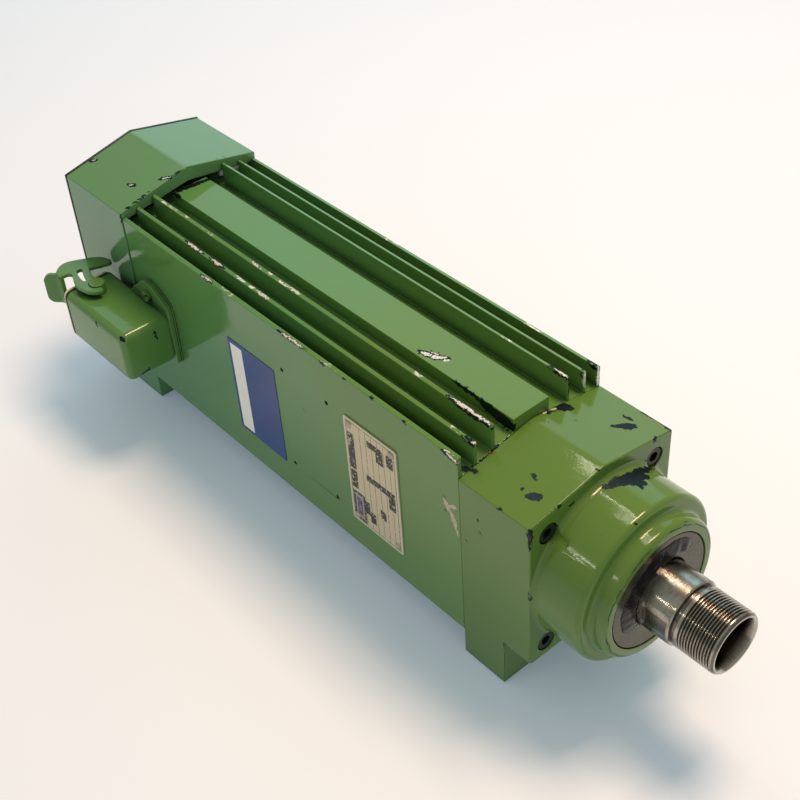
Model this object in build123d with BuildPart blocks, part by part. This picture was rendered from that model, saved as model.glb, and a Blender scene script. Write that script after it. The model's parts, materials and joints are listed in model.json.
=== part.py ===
from build123d import *
import os
from math import radians, tan

os.makedirs("parts", exist_ok=True)

# Motor spindle with a collet nose, lying on its four feet.
# Row frame: +X runs along the shaft to the tool, +Z is up, and the origin is the
# centre of the four foot holes, on the plane that the feet stand on. Millimetres.
# Heights named here count from the shaft's axis, up or, for bottoms, down.

# Driving dimensions of the body: it is just wider than the boss that holds the front bearings
axis_z = 74.0                  # shaft height over the foot plane
front_outer_r = 31.0           # outside of the front bearings
boss_rim = 5.6                 # ring of metal around the bearings, at the boss's front
boss_step = 7.6                # and the boss's larger root behind it
ring_r = front_outer_r + boss_rim
boss_r = ring_r + boss_step
half_width = boss_r + 1.8      # half the side of the square body
seam_x = 138.0                 # end faces of the finned housing, at +X and -X
shield_depth = 44.9            # front end shield, from the seam to its face
corner_top = 44.7              # shield's upper corner over the axis
ridge_top = 52.8               # shield's ridge over the axis
core_bottom = 46.0             # flat underside of shields and housing core
slack = 0.02                   # radial play of seated parts
face_x = seam_x + shield_depth

# Fins of the housing
fin_corner = corner_top + 11.7     # fin tops follow a gable: its height at the side
fin_ridge = ridge_top + 16.6       # and at the middle
fin_foot = core_bottom + 11.7      # lower fins end here
fin_thick = 2.0
fin_places = (24.0, 35.2)          # fin centres either side of the middle
side_wall = 2.4
pad_half = 11.5
pad_top = ridge_top + 5.8
under_rib = 4.0
stator_r = 40.0

# Feet and their threaded holes
foot_length = 28.0
foot_width = 24.0
foot_hole_r = 4.0
foot_hole_depth = 18.0
foot_hole_y = half_width - foot_width / 2
foot_centre_x = seam_x + foot_length / 2

# Corner screws that clamp the shields to the housing
corner_screw_y = half_width - 11.5
corner_screw_z = (corner_top - 9.7, 9.0 - core_bottom)
screw_r = 3.0
screw_hole_r = screw_r + 0.3
screw_head_r = 5.0
screw_head_height = 6.0
screw_socket_r = 2.5
recess_r = screw_head_r + 0.5
recess_depth = screw_head_height + 0.6
thread_depth = 20.0

# Front bearings, boss and bearing cover
front_seat_r = 17.5
front_bearing_width = 14.0
front_ball_r = 4.0
front_balls = 14
front_shoulder = 4.6           # bearing shoulder, in front of the shield's face
cover_thick = 2.8
cover_step = 1.5
cover_recess = 0.4
cover_gap = 0.2
ring_length = front_shoulder + 2 * front_bearing_width + cover_gap + cover_thick + cover_recess
boss_length = ring_length - 8.4
boss_root = 3.2                # fillet where the boss meets the shield's face
bearing_shoulder_x = face_x + front_shoulder
cover_rear_x = bearing_shoulder_x + 2 * front_bearing_width + cover_gap
ring_front_x = face_x + ring_length
cavity_r = stator_r - 2
cavity_end_x = face_x - 13.5

# Shaft and collet nose
nose_length = 42.4             # nose in front of the boss
nose_r = 16.0                  # M32 x 1.5
thread_pitch = 1.5
thread_turns = 12
thread_height = 0.92
thread_lead = 1.7              # plain end in front of the thread
undercut_length = 2.4
neck_r = 17.0
flat_half = 15.0               # half the width over the wrench flats
taper_mouth_r = 13.0
taper_half_angle = 8.0
taper_depth = 30.0
collet_bore_r = 8.5
collet_bore_depth = 20.0
mouth_chamfer = 1.0
nose_end_x = ring_front_x + nose_length
thread_end_x = nose_end_x - thread_lead
thread_start_x = thread_end_x - thread_turns * thread_pitch
undercut_x = thread_start_x - 1.7 - undercut_length
front_collar_r = front_seat_r + 3.5

# Rear end shield, rear bearing and fan
rear_plate = 12.0
rear_shoulder = 13.0           # bearing shoulder, behind the seam
rear_seat_r = 12.5
rear_outer_r = 26.0
rear_bearing_width = 15.0
rear_ball_r = 3.9
rear_balls = 9
spring_room = 2.0
rear_neck_r = 15.0
rear_shoulder_x = -seam_x - rear_shoulder
rear_bearing_x = (rear_shoulder_x - spring_room - rear_bearing_width, rear_shoulder_x - spring_room)
rear_hub_x = rear_bearing_x[0] - 2
fan_width = 16.0
fan_r = 40.0
fan_disc = 2.2
fan_hub_r = 13.0
fan_seat_r = 8.0
blades = 9
blade_thick = 2.0
fan_x = (rear_hub_x - 4 - fan_width, rear_hub_x - 4)
shaft_rear_x = fan_x[0]
set_screw_x = fan_x[0] + 5.5
set_screw_r = 2.0

# Active parts of the motor
pack_front_x = seam_x - 73.0
pack_rear_x = 53.0 - seam_x
stator_inner_r = 23.0
stator_slots = 24
slot_depth = 10.0
slot_width = 4.0
head_length = 22.0
air_gap = 0.5
rotor_r = stator_inner_r - air_gap
rotor_bore_r = 16.5
rotor_bars = 22
bar_r = 2.0
bar_circle_r = rotor_r - 2.9
end_ring = 9.0
shaft_step = 15.0              # shaft's seat runs on past the rotor pack by this

# Fan hood
hood_sheet = 1.5
hood_front_x = -seam_x - 0.2
hood_rear_x = fan_x[0] - 7.0
hood_half = half_width + 0.7
hood_corner = fin_corner + 3.7
hood_ridge = fin_ridge + 0.8
hood_bottom = core_bottom + 5.3
guard_thick = 1.5
small_screw_r = 2.0            # M4 screws of hood and connector
hood_screw_places = [(-seam_x - step, side) for step in (7.0, 21.0) for side in (-1, 1)]
hood_screw_z = 3.1 - hood_bottom
guard_screw_r = 1.5
guard_points = [(side * (hood_half - 4.9), z)
                for side in (-1, 1) for z in (5.3 - hood_bottom, hood_corner - 8.1)]

# Connector on the side of the body
base_gasket = 1.0
flange_thick = 3.2
flange_face_y = -half_width - base_gasket - flange_thick
plug_depth = 31.3              # box in front of the flange
plug_outer_y = flange_face_y - plug_depth
plug_reach = 39.0              # connector's front end, from the housing's rear face
plug_front_x = plug_reach - seam_x
plug_length = 60.0
plug_mouth_x = plug_front_x - plug_length
plug_z = (-19.8, 12.5)         # lower and upper face
plug_wall = 2.6
plug_mid_y = (plug_outer_y + flange_face_y) / 2
plug_mid_z = sum(plug_z) / 2
lug_x = plug_front_x - 19.0
lug_hole_z = 20.2              # lug holes either side of the connector's middle
window_x = plug_front_x - plug_length / 2 + 1.0
window_side = 17.0
seal_thick = 1.6
insert_half = 12.5
collar_inset = 0.6             # insert's collar is this much smaller than the seal, all round
insert_wall = 1.5
insert_rear_x = plug_mouth_x - seal_thick - 2.4
cup_depth = 13.0
insert_floor_x = insert_rear_x + cup_depth
insert_front_x = insert_floor_x + 3.3
pin_r = 1.25
pin_length = 16.0
insert_screw_r = 1.0
pivot_x = plug_mouth_x + 11.5
pivot_r = 4.6
lever_rise = 3.2               # lever's plates stand this far over the box
lever_sheet = 2.5
lever_drop = 20.4              # its thumb tab hangs down this far
lead_r = 3.0

# Plates on the side
nameplate_x = (55.5, 95.0)
nameplate_z = (-38.0, 32.5)
nameplate_thick = 0.8
label_x = (-44.2, -2.7)
label_z = (-38.6, 25.5)
label_thick = 0.3
spare_hole_x = (5.0, 41.5)
spare_hole_z = (-34.6, 30.4)
rivet_r = 1.2
rivet_inset = 4.0

spindle_axis = Axis((0, 0, axis_z), (1, 0, 0))
hole_align = (Align.CENTER, Align.CENTER, Align.MIN)
spin_plane = Plane(origin=(0, 0, axis_z), x_dir=(1, 0, 0), z_dir=(0, -1, 0))


def cross_plane(x):
    """A plane across the shaft at x, local x along +Y and local y up from the axis."""
    return Plane(origin=(x, 0, axis_z), x_dir=(0, 1, 0), z_dir=(1, 0, 0))


def side_plane(y):
    """A plane along the body's -Y side, local x along +X, local y up from the axis, facing -Y."""
    return Plane(origin=(0, y, axis_z), x_dir=(1, 0, 0), z_dir=(0, -1, 0))


def save(piece, name):
    """Label a finished piece and write its file."""
    piece.part.label = name
    export_step(piece.part, f"parts/{name}.step")


def span_box(x, y, z, mode=Mode.ADD):
    """A box between two values on each axis, z counted from the shaft's axis."""
    middle = (sum(x) / 2, sum(y) / 2, axis_z + sum(z) / 2)
    with Locations(middle):
        Box(abs(x[1] - x[0]), abs(y[1] - y[0]), abs(z[1] - z[0]), mode=mode)


def ring_section(x, r, mode=Mode.ADD):
    """In the open sketch, the section of a turned ring: two places on the axis, two radii."""
    with Locations((sum(x) / 2, sum(r) / 2)):
        Rectangle(abs(x[1] - x[0]), r[1] - r[0], mode=mode)


def gable(half, corner, ridge, bottom, mode=Mode.ADD):
    """In the open sketch, a square outline with a low gable on top."""
    corners = [(-half, -bottom), (half, -bottom), (half, corner), (0, ridge), (-half, corner)]
    Polygon(*corners, align=None, mode=mode)


def side_hole(x, side, depth_y):
    """Plane of a hood screw: it starts depth_y from the middle and points out of that side."""
    return Plane(origin=(x, side * depth_y, axis_z + hood_screw_z), z_dir=(0, side, 0))


corner_points = [(side * corner_screw_y, z) for side in (-1, 1) for z in corner_screw_z]
plate_points = [(x, z) for x in (nameplate_x[0] + rivet_inset, nameplate_x[1] - rivet_inset)
                for z in (nameplate_z[0] + rivet_inset, nameplate_z[1] - rivet_inset)]
lug_points = [(lug_x, plug_mid_z + side * lug_hole_z) for side in (-1, 1)]


# Finned aluminium housing: an extruded tube whose upper and lower faces carry fins,
# with a flat pad along the top and the window that the motor leads leave by.
with BuildPart() as stator_housing:
    with BuildSketch(cross_plane(-seam_x)):
        for side in (-1, 1):
            for place in fin_places:
                with Locations((side * place, (fin_ridge - fin_foot) / 2)):
                    Rectangle(fin_thick, fin_ridge + fin_foot)
            with Locations((side * (half_width - side_wall / 2), (fin_ridge - fin_foot) / 2)):
                Rectangle(side_wall, fin_ridge + fin_foot)
        with BuildLine():
            Polyline((-half_width, fin_corner), (0, fin_ridge), (half_width, fin_corner),
                     (half_width, fin_ridge + 1), (-half_width, fin_ridge + 1), close=True)
        make_face(mode=Mode.SUBTRACT)
        gable(half_width, corner_top, ridge_top, core_bottom)
        with Locations((0, pad_top / 2)):
            Rectangle(2 * pad_half, pad_top)
        with Locations((0, -(core_bottom + under_rib) / 2)):
            Rectangle(2 * pad_half, core_bottom + under_rib)
        Circle(stator_r, mode=Mode.SUBTRACT)
    extrude(amount=2 * seam_x)
    for end in (-1, 1):
        with BuildSketch(cross_plane(end * seam_x)):
            with Locations(*corner_points):
                Circle(screw_r)
        extrude(amount=-end * thread_depth, mode=Mode.SUBTRACT)
    with BuildSketch(side_plane(-half_width)):
        with Locations((window_x, plug_mid_z)):
            Rectangle(window_side, window_side)
    extrude(amount=-12, mode=Mode.SUBTRACT)
    with BuildSketch(side_plane(-half_width)):
        with Locations(*lug_points):
            Circle(small_screw_r)
    extrude(amount=-6, mode=Mode.SUBTRACT)
    with BuildSketch(side_plane(-half_width)):
        with Locations(*[(x, z) for x in spare_hole_x for z in spare_hole_z]):
            Circle(rivet_r)
        with Locations(*plate_points):
            Circle(rivet_r + slack)
    extrude(amount=-4, mode=Mode.SUBTRACT)
save(stator_housing, "stator_housing")

# Stator: a pack of slotted laminations, pressed into the housing's bore.
slot_mid_r = stator_inner_r + 1.5 + slot_depth / 2
with BuildPart() as stator_core:
    with BuildSketch(cross_plane(pack_rear_x)):
        Circle(stator_r - slack)
        Circle(stator_inner_r, mode=Mode.SUBTRACT)
        with PolarLocations(slot_mid_r, stator_slots):
            Rectangle(slot_depth, slot_width, mode=Mode.SUBTRACT)
        with PolarLocations(stator_inner_r + 0.5, stator_slots):
            Rectangle(3, 1.4, mode=Mode.SUBTRACT)
    extrude(amount=pack_front_x - pack_rear_x)
save(stator_core, "stator_core")

# Copper winding: a bar in every slot, and a rounded head at each end.
head_r = (stator_inner_r + 1.4, stator_r - 3.2)
head_places = ((pack_rear_x - head_length, pack_rear_x - 0.2),
               (pack_front_x + 0.2, pack_front_x + head_length))
with BuildPart() as stator_winding:
    with BuildSketch(cross_plane(pack_rear_x - 0.5)):
        with PolarLocations(slot_mid_r, stator_slots):
            Rectangle(slot_depth - 0.5, slot_width - 0.5)
    extrude(amount=pack_front_x - pack_rear_x + 1)
    for start, end in head_places:
        with BuildSketch(spin_plane):
            with Locations(((start + end) / 2, sum(head_r) / 2)):
                RectangleRounded(end - start, head_r[1] - head_r[0], 4)
        revolve(axis=spindle_axis)
save(stator_winding, "stator_winding")

# Front end shield: an iron casting with the square flange, the round boss that
# holds the front bearings, and two feet under the flange. The fillet at the boss's
# root runs out over the flange's sides and underside, and is trimmed flush there.
root_x = (face_x - 7.0, face_x + boss_root + 1.8)
past_root = boss_r + boss_root + 12.0
ridge_round = 14.0
side_round = 3.0
face_round = 0.8
with BuildPart() as front_end_shield:
    with BuildSketch(cross_plane(seam_x)):
        gable(half_width, corner_top, ridge_top, core_bottom)
    extrude(amount=face_x - seam_x)
    fillet(front_end_shield.edges().filter_by(Axis.X).group_by(Axis.Z)[-1], ridge_round)
    fillet(front_end_shield.edges().filter_by(Axis.X).sort_by(Axis.Z)[:2], side_round)
    fillet(front_end_shield.faces().sort_by(Axis.X)[-1].edges(), face_round)
    with BuildSketch(spin_plane):
        with BuildLine():
            Polyline((face_x - 6, 20), (face_x - 6, boss_r), (face_x, boss_r + boss_root))
            TangentArc((face_x, boss_r + boss_root), (face_x + boss_root, boss_r), tangent=(0, -1))
            FilletPolyline((face_x + boss_root, boss_r), (face_x + boss_length, boss_r),
                           (face_x + boss_length, ring_r), (ring_front_x, ring_r),
                           (ring_front_x, 20), radius=2.8)
            Line((ring_front_x, 20), (face_x - 6, 20))
        make_face()
    revolve(axis=spindle_axis)
    for side in (-1, 1):
        span_box(root_x, (side * half_width, side * past_root), (-past_root, past_root), Mode.SUBTRACT)
    span_box(root_x, (-past_root, past_root), (-past_root, -core_bottom), Mode.SUBTRACT)
    for side in (-1, 1):
        span_box((seam_x, seam_x + foot_length), (side * (half_width - foot_width), side * half_width),
                 (-axis_z, 8 - core_bottom))
    with BuildSketch(spin_plane):
        ring_section((seam_x, cavity_end_x), (0, cavity_r))
    revolve(axis=spindle_axis, mode=Mode.SUBTRACT)
    with BuildSketch(spin_plane):
        ring_section((cavity_end_x - 1, bearing_shoulder_x), (0, front_outer_r - 4))
    revolve(axis=spindle_axis, mode=Mode.SUBTRACT)
    with BuildSketch(spin_plane):
        ring_section((bearing_shoulder_x, ring_front_x), (0, front_outer_r))
    revolve(axis=spindle_axis, mode=Mode.SUBTRACT)
    with BuildSketch(cross_plane(face_x)):
        with Locations(*corner_points):
            Circle(recess_r)
    extrude(amount=-recess_depth, mode=Mode.SUBTRACT)
    with BuildSketch(cross_plane(face_x)):
        with Locations(*corner_points):
            Circle(recess_r)
    extrude(amount=8, mode=Mode.SUBTRACT)
    with BuildSketch(cross_plane(seam_x)):
        with Locations(*corner_points):
            Circle(screw_hole_r)
    extrude(amount=face_x - seam_x, mode=Mode.SUBTRACT)
    with BuildSketch(Plane.XY):
        with Locations(*[(foot_centre_x, side * foot_hole_y) for side in (-1, 1)]):
            Circle(foot_hole_r)
    extrude(amount=foot_hole_depth, mode=Mode.SUBTRACT)
save(front_end_shield, "front_end_shield")

# Rear end shield: a plate inside the hood, with the rear bearing's seat and two feet.
inside_half = hood_half - hood_sheet - 0.4
with BuildPart() as rear_end_shield:
    with BuildSketch(cross_plane(-seam_x)):
        gable(inside_half, corner_top - 0.6, ridge_top - 1.2, core_bottom - 1)
    extrude(amount=-rear_plate)
    with BuildSketch(spin_plane):
        ring_section((rear_hub_x, -seam_x), (rear_neck_r, rear_outer_r + 7))
    revolve(axis=spindle_axis)
    for side in (-1, 1):
        span_box((-seam_x - foot_length, -seam_x), (side * (half_width - foot_width), side * inside_half),
                 (-hood_bottom - 0.8, 10 - core_bottom))
        span_box((-seam_x - foot_length, -seam_x), (side * (half_width - foot_width), side * half_width),
                 (-axis_z, -hood_bottom - 0.5))
    with BuildSketch(spin_plane):
        ring_section((rear_hub_x - 1, 1 - seam_x), (0, rear_neck_r + 3))
    revolve(axis=spindle_axis, mode=Mode.SUBTRACT)
    with BuildSketch(spin_plane):
        ring_section((rear_hub_x - 1, rear_shoulder_x), (0, rear_outer_r))
    revolve(axis=spindle_axis, mode=Mode.SUBTRACT)
    with BuildSketch(cross_plane(-seam_x)):
        with Locations(*corner_points):
            Circle(screw_hole_r)
    extrude(amount=-foot_length - 1, mode=Mode.SUBTRACT)
    with BuildSketch(cross_plane(-seam_x - rear_plate)):
        with Locations(*corner_points):
            Circle(recess_r)
    extrude(amount=-foot_length, mode=Mode.SUBTRACT)
    with BuildSketch(Plane.XY):
        with Locations(*[(-foot_centre_x, side * foot_hole_y) for side in (-1, 1)]):
            Circle(foot_hole_r)
    extrude(amount=foot_hole_depth, mode=Mode.SUBTRACT)
    for x, side in hood_screw_places:
        with Locations(side_hole(x, side, hood_half - 10.7)):
            Cylinder(small_screw_r, 12, align=hole_align, mode=Mode.SUBTRACT)
save(rear_end_shield, "rear_end_shield")


def socket_screws(name, head_x, way, length):
    """Four socket head screws at the corners, heads under head_x, pointing along way."""
    with BuildPart() as screws:
        with BuildSketch(cross_plane(head_x)):
            with Locations(*corner_points):
                Circle(screw_head_r)
        extrude(amount=-way * screw_head_height)
        with BuildSketch(cross_plane(head_x)):
            with Locations(*corner_points):
                Circle(screw_r - slack)
        extrude(amount=way * length)
        with BuildSketch(cross_plane(head_x - way * screw_head_height)):
            with Locations(*corner_points):
                RegularPolygon(screw_socket_r, 6, major_radius=False)
        extrude(amount=way * 3.5, mode=Mode.SUBTRACT)
    save(screws, name)


front_screw_length = shield_depth - recess_depth + thread_depth - 2
rear_screw_length = rear_plate + thread_depth - 2
socket_screws("front_shield_screws", face_x - recess_depth, -1, front_screw_length)
socket_screws("rear_shield_screws", -seam_x - rear_plate, 1, rear_screw_length)


def ball_bearing(name, x, bore_r, outer_r, ball_r, count):
    """A ball bearing: outer ring, inner ring, balls and cage, each in its own file."""
    pitch_r = (bore_r + outer_r) / 2
    middle = sum(x) / 2
    groove_r = ball_r + 0.12
    land = 0.5 * ball_r

    def race(part_name, r):
        with BuildPart() as race_ring:
            with BuildSketch(spin_plane):
                with Locations((middle, sum(r) / 2)):
                    Rectangle(x[1] - x[0], r[1] - r[0])
                with Locations((middle, pitch_r)):
                    Circle(groove_r, mode=Mode.SUBTRACT)
            revolve(axis=spindle_axis)
            chamfer(race_ring.edges().filter_by(GeomType.CIRCLE).group_by(Axis.X)[0], 0.4)
            chamfer(race_ring.edges().filter_by(GeomType.CIRCLE).group_by(Axis.X)[-1], 0.4)
        save(race_ring, part_name)

    race(f"{name}_outer_ring", (pitch_r + land, outer_r - slack))
    race(f"{name}_inner_ring", (bore_r, pitch_r - land))
    with BuildPart() as balls:
        with Locations(cross_plane(middle)):
            with PolarLocations(pitch_r, count):
                Sphere(ball_r)
    save(balls, f"{name}_balls")
    with BuildPart() as cage:
        with BuildSketch(spin_plane):
            ring_section((middle - ball_r - 1.2, middle + ball_r + 1.2), (pitch_r - 1.1, pitch_r + 1.1))
        revolve(axis=spindle_axis)
        with Locations(cross_plane(middle)):
            with PolarLocations(pitch_r, count):
                Cylinder(ball_r + 0.15, 3.0, rotation=(0, 90, 0), mode=Mode.SUBTRACT)
    save(cage, f"{name}_cage")


# Two angular contact bearings side by side carry the nose, one deep groove
# bearing carries the rear of the shaft.
for letter, place in (("a", 1), ("b", 0)):
    start = bearing_shoulder_x + place * front_bearing_width
    ball_bearing(f"front_bearing_{letter}", (start, start + front_bearing_width),
                 front_seat_r, front_outer_r, front_ball_r, front_balls)
ball_bearing("rear_bearing", rear_bearing_x, rear_seat_r, rear_outer_r, rear_ball_r, rear_balls)

# Cover ring screwed into the boss in front of the bearings, with a narrow sealing gap
# around the neck. Its outer rim is cut back, which leaves the fine groove seen around it.
seal_gap = 0.8
with BuildPart() as bearing_cover:
    with BuildSketch(spin_plane):
        ring_section((cover_rear_x, cover_rear_x + cover_step), (neck_r + seal_gap, front_outer_r - slack))
    revolve(axis=spindle_axis)
    with BuildSketch(spin_plane):
        ring_section((cover_rear_x + cover_step, cover_rear_x + cover_thick),
                     (neck_r + seal_gap, front_outer_r - 0.6))
    revolve(axis=spindle_axis)
save(bearing_cover, "bearing_cover")

# Disc spring that loads the rear bearing's outer ring.
with BuildPart() as disc_spring:
    with BuildSketch(spin_plane):
        with BuildLine():
            Polyline((rear_shoulder_x - 0.05, rear_outer_r - 6), (rear_shoulder_x - 0.85, rear_outer_r - 6),
                     (rear_bearing_x[1] + 0.05, rear_outer_r - 0.4),
                     (rear_bearing_x[1] + 0.85, rear_outer_r - 0.4), close=True)
        make_face()
    revolve(axis=spindle_axis)
save(disc_spring, "disc_spring")

# Shaft: one turned piece from the collet nose to the fan seat. The nose's thread is cut
# as rings of the thread's own profile, and the collet socket has the 8 degree taper.
circlip_x = (rear_bearing_x[0] - 1.25, rear_bearing_x[0] - 0.05)
circlip_r = rear_seat_r - 0.9
ear_r = 2.2                    # circlip's ears, either side of its gap
ear_y = 4.4
ear_z = -rear_seat_r - 1.1
fan_step_x = circlip_x[0] - 1.75
taper_small_r = taper_mouth_r - taper_depth * tan(radians(taper_half_angle))
taper_end_x = nose_end_x - mouth_chamfer - taper_depth
bore_end_x = taper_end_x - collet_bore_depth
flat_x = (ring_front_x + 3.1, undercut_x - 1.2)
past_neck = neck_r + 5.0
with BuildPart() as shaft:
    with BuildSketch(spin_plane):
        with BuildLine():
            outline = [
                (shaft_rear_x, 0), (shaft_rear_x, fan_seat_r - 0.5), (shaft_rear_x + 0.5, fan_seat_r),
                (fan_step_x, fan_seat_r), (fan_step_x, rear_seat_r - slack),
                (circlip_x[0], rear_seat_r - slack),
                (circlip_x[0], circlip_r), (circlip_x[1], circlip_r), (circlip_x[1], rear_seat_r - slack),
                (rear_bearing_x[1], rear_seat_r - slack), (rear_bearing_x[1], rear_neck_r),
                (pack_rear_x - shaft_step, rear_neck_r), (pack_rear_x - shaft_step, rotor_bore_r - slack),
                (pack_front_x + shaft_step, rotor_bore_r - slack), (pack_front_x + shaft_step, neck_r),
                (cavity_end_x, neck_r), (cavity_end_x, front_collar_r),
                (bearing_shoulder_x, front_collar_r), (bearing_shoulder_x, front_seat_r - slack),
                (cover_rear_x - 0.2, front_seat_r - slack), (cover_rear_x - 0.2, neck_r),
                (undercut_x - 0.6, neck_r), (undercut_x, neck_r - 0.6), (undercut_x, nose_r - 1),
                (undercut_x + undercut_length, nose_r - 1), (undercut_x + undercut_length, nose_r - 0.2),
                (undercut_x + undercut_length + 0.2, nose_r)]
            for turn in range(thread_turns):
                start = thread_start_x + turn * thread_pitch
                outline += [(start, nose_r), (start + 0.56, nose_r - thread_height),
                            (start + 0.75, nose_r - thread_height), (start + 1.31, nose_r)]
            outline += [(thread_end_x, nose_r), (nose_end_x - 0.35, nose_r - 0.7), (nose_end_x, nose_r - 1.1),
                        (nose_end_x, taper_mouth_r + mouth_chamfer),
                        (nose_end_x - mouth_chamfer, taper_mouth_r),
                        (taper_end_x, taper_small_r), (taper_end_x, collet_bore_r),
                        (bore_end_x, collet_bore_r), (bore_end_x - 5, 0)]
            Polyline(*outline, close=True)
        make_face()
    revolve(axis=spindle_axis)
    for side in (-1, 1):
        span_box(flat_x, (side * flat_half, side * past_neck), (-past_neck, past_neck), Mode.SUBTRACT)
save(shaft, "shaft")

# Rotor: a lamination pack on the shaft, with a cast cage of bars and end rings.
with BuildPart() as rotor_core:
    with BuildSketch(cross_plane(pack_rear_x)):
        Circle(rotor_r)
        Circle(rotor_bore_r, mode=Mode.SUBTRACT)
        with PolarLocations(bar_circle_r, rotor_bars):
            Circle(bar_r + 0.1, mode=Mode.SUBTRACT)
    extrude(amount=pack_front_x - pack_rear_x)
save(rotor_core, "rotor_core")

end_ring_r = (rotor_bore_r + 0.6, rotor_r - 0.3)
with BuildPart() as rotor_cage:
    with BuildSketch(cross_plane(pack_rear_x - 1)):
        with PolarLocations(bar_circle_r, rotor_bars):
            Circle(bar_r)
    extrude(amount=pack_front_x - pack_rear_x + 2)
    with BuildSketch(spin_plane):
        ring_section((pack_rear_x - end_ring, pack_rear_x - 0.1), end_ring_r)
    revolve(axis=spindle_axis)
    with BuildSketch(spin_plane):
        ring_section((pack_front_x + 0.1, pack_front_x + end_ring), end_ring_r)
    revolve(axis=spindle_axis)
save(rotor_cage, "rotor_cage")

# Circlip that holds the rear bearing on the shaft.
with BuildPart() as shaft_circlip:
    with BuildSketch(cross_plane(circlip_x[0] + 0.1)):
        Circle(rear_seat_r + 2.5)
        Circle(circlip_r + 0.05, mode=Mode.SUBTRACT)
        with Locations((0, ear_z)):
            Rectangle(2 * (ear_y - 1.4), 8, mode=Mode.SUBTRACT)
        with Locations((ear_y, ear_z), (-ear_y, ear_z)):
            Circle(ear_r)
        with Locations((ear_y, ear_z - 0.3), (-ear_y, ear_z - 0.3)):
            Circle(0.8, mode=Mode.SUBTRACT)
        Circle(circlip_r + 0.05, mode=Mode.SUBTRACT)
    extrude(amount=1.0)
save(shaft_circlip, "shaft_circlip")

# Fan: hub, back disc and straight radial blades, clamped by a set screw.
blade_r = (fan_hub_r - 0.8, fan_r - 0.2)
with BuildPart() as fan:
    with BuildSketch(spin_plane):
        ring_section(fan_x, (fan_seat_r + slack, fan_hub_r))
    revolve(axis=spindle_axis)
    with BuildSketch(spin_plane):
        ring_section((fan_x[1] - fan_disc, fan_x[1]), (fan_hub_r - 1, fan_r))
    revolve(axis=spindle_axis)
    with BuildSketch(cross_plane(fan_x[1] - fan_disc / 2)):
        with PolarLocations(sum(blade_r) / 2, blades, start_angle=90 + 180 / blades):
            Rectangle(blade_r[1] - blade_r[0], blade_thick)
    extrude(amount=3 - fan_width)
    with Locations(Plane(origin=(set_screw_x, 0, axis_z), z_dir=(0, 0, 1))):
        Cylinder(set_screw_r, fan_hub_r + 3, align=hole_align, mode=Mode.SUBTRACT)
save(fan, "fan")

with BuildPart() as fan_set_screw:
    with Locations(Plane(origin=(set_screw_x, 0, axis_z + fan_seat_r + 0.05), z_dir=(0, 0, 1))):
        Cylinder(set_screw_r - slack, 4.6, align=hole_align)
    with BuildSketch(Plane(origin=(set_screw_x, 0, axis_z + fan_seat_r + 4.65), z_dir=(0, 0, 1))):
        RegularPolygon(1.0, 6, major_radius=False)
    extrude(amount=-2, mode=Mode.SUBTRACT)
save(fan_set_screw, "fan_set_screw")

# Fan hood: a folded sheet around the rear, with a lip above the fins that leaves
# an air outlet over every valley, and a turned-in edge for the guard at the rear.
lip_half = hood_half - hood_sheet
rim_half = hood_half - 7.7
with BuildPart() as fan_hood:
    with BuildSketch(cross_plane(hood_rear_x)):
        gable(hood_half, hood_corner, hood_ridge, hood_bottom)
        gable(lip_half, hood_corner - hood_sheet, hood_ridge - hood_sheet, hood_bottom - hood_sheet,
              Mode.SUBTRACT)
    extrude(amount=hood_front_x - hood_rear_x)
    fillet(fan_hood.edges().filter_by(Axis.X).group_by(Axis.Z)[-1], 6)
    span_box((-seam_x - foot_length - 2, hood_front_x + 1), (-lip_half, lip_half),
             (-hood_bottom - 1, -hood_bottom + hood_sheet + 1), Mode.SUBTRACT)
    with BuildSketch(cross_plane(hood_front_x)):
        with BuildLine():
            Polyline((-lip_half, hood_corner - 5.6), (0, hood_ridge - 9.2), (lip_half, hood_corner - 5.6),
                     (lip_half, hood_corner - 1), (0, hood_ridge - 1), (-lip_half, hood_corner - 1),
                     close=True)
        make_face()
    extrude(amount=-2.0)
    with BuildSketch(cross_plane(hood_rear_x)):
        gable(lip_half + 0.5, hood_corner - 1, hood_ridge - 1, hood_bottom - 1)
        gable(rim_half, hood_corner - 10.1, hood_ridge - 10.2, hood_bottom - 7.3, Mode.SUBTRACT)
        with Locations(*guard_points):
            Circle(guard_screw_r, mode=Mode.SUBTRACT)
    extrude(amount=hood_sheet)
    for x, side in hood_screw_places:
        with Locations(side_hole(x, side, hood_half - 6.7)):
            Cylinder(small_screw_r + 0.2, 10, align=hole_align, mode=Mode.SUBTRACT)
save(fan_hood, "fan_hood")

# Sheet guard on the rear of the hood, slotted for the air inlet.
with BuildPart() as rear_guard:
    with BuildSketch(cross_plane(hood_rear_x)):
        gable(hood_half + 0.3, hood_corner + 0.3, hood_ridge + 0.3, hood_bottom + 0.3)
        for row in range(-4, 5):
            z = row * fan_r / 5
            with Locations((0, z)):
                SlotOverall(2 * (fan_r ** 2 - z ** 2) ** 0.5 - 4, 5, mode=Mode.SUBTRACT)
        Circle(fan_r / 5)
        Rectangle(4, 2 * fan_r - 6)
        with Locations(*guard_points):
            Circle(guard_screw_r + 0.2, mode=Mode.SUBTRACT)
    extrude(amount=-guard_thick)
save(rear_guard, "rear_guard")

with BuildPart() as guard_screws:
    with BuildSketch(cross_plane(hood_rear_x - guard_thick)):
        with Locations(*guard_points):
            Circle(guard_screw_r + 1.4)
    extrude(amount=-1.8)
    with BuildSketch(cross_plane(hood_rear_x - guard_thick)):
        with Locations(*guard_points):
            Circle(guard_screw_r - slack)
    extrude(amount=6)
save(guard_screws, "guard_screws")

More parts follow.
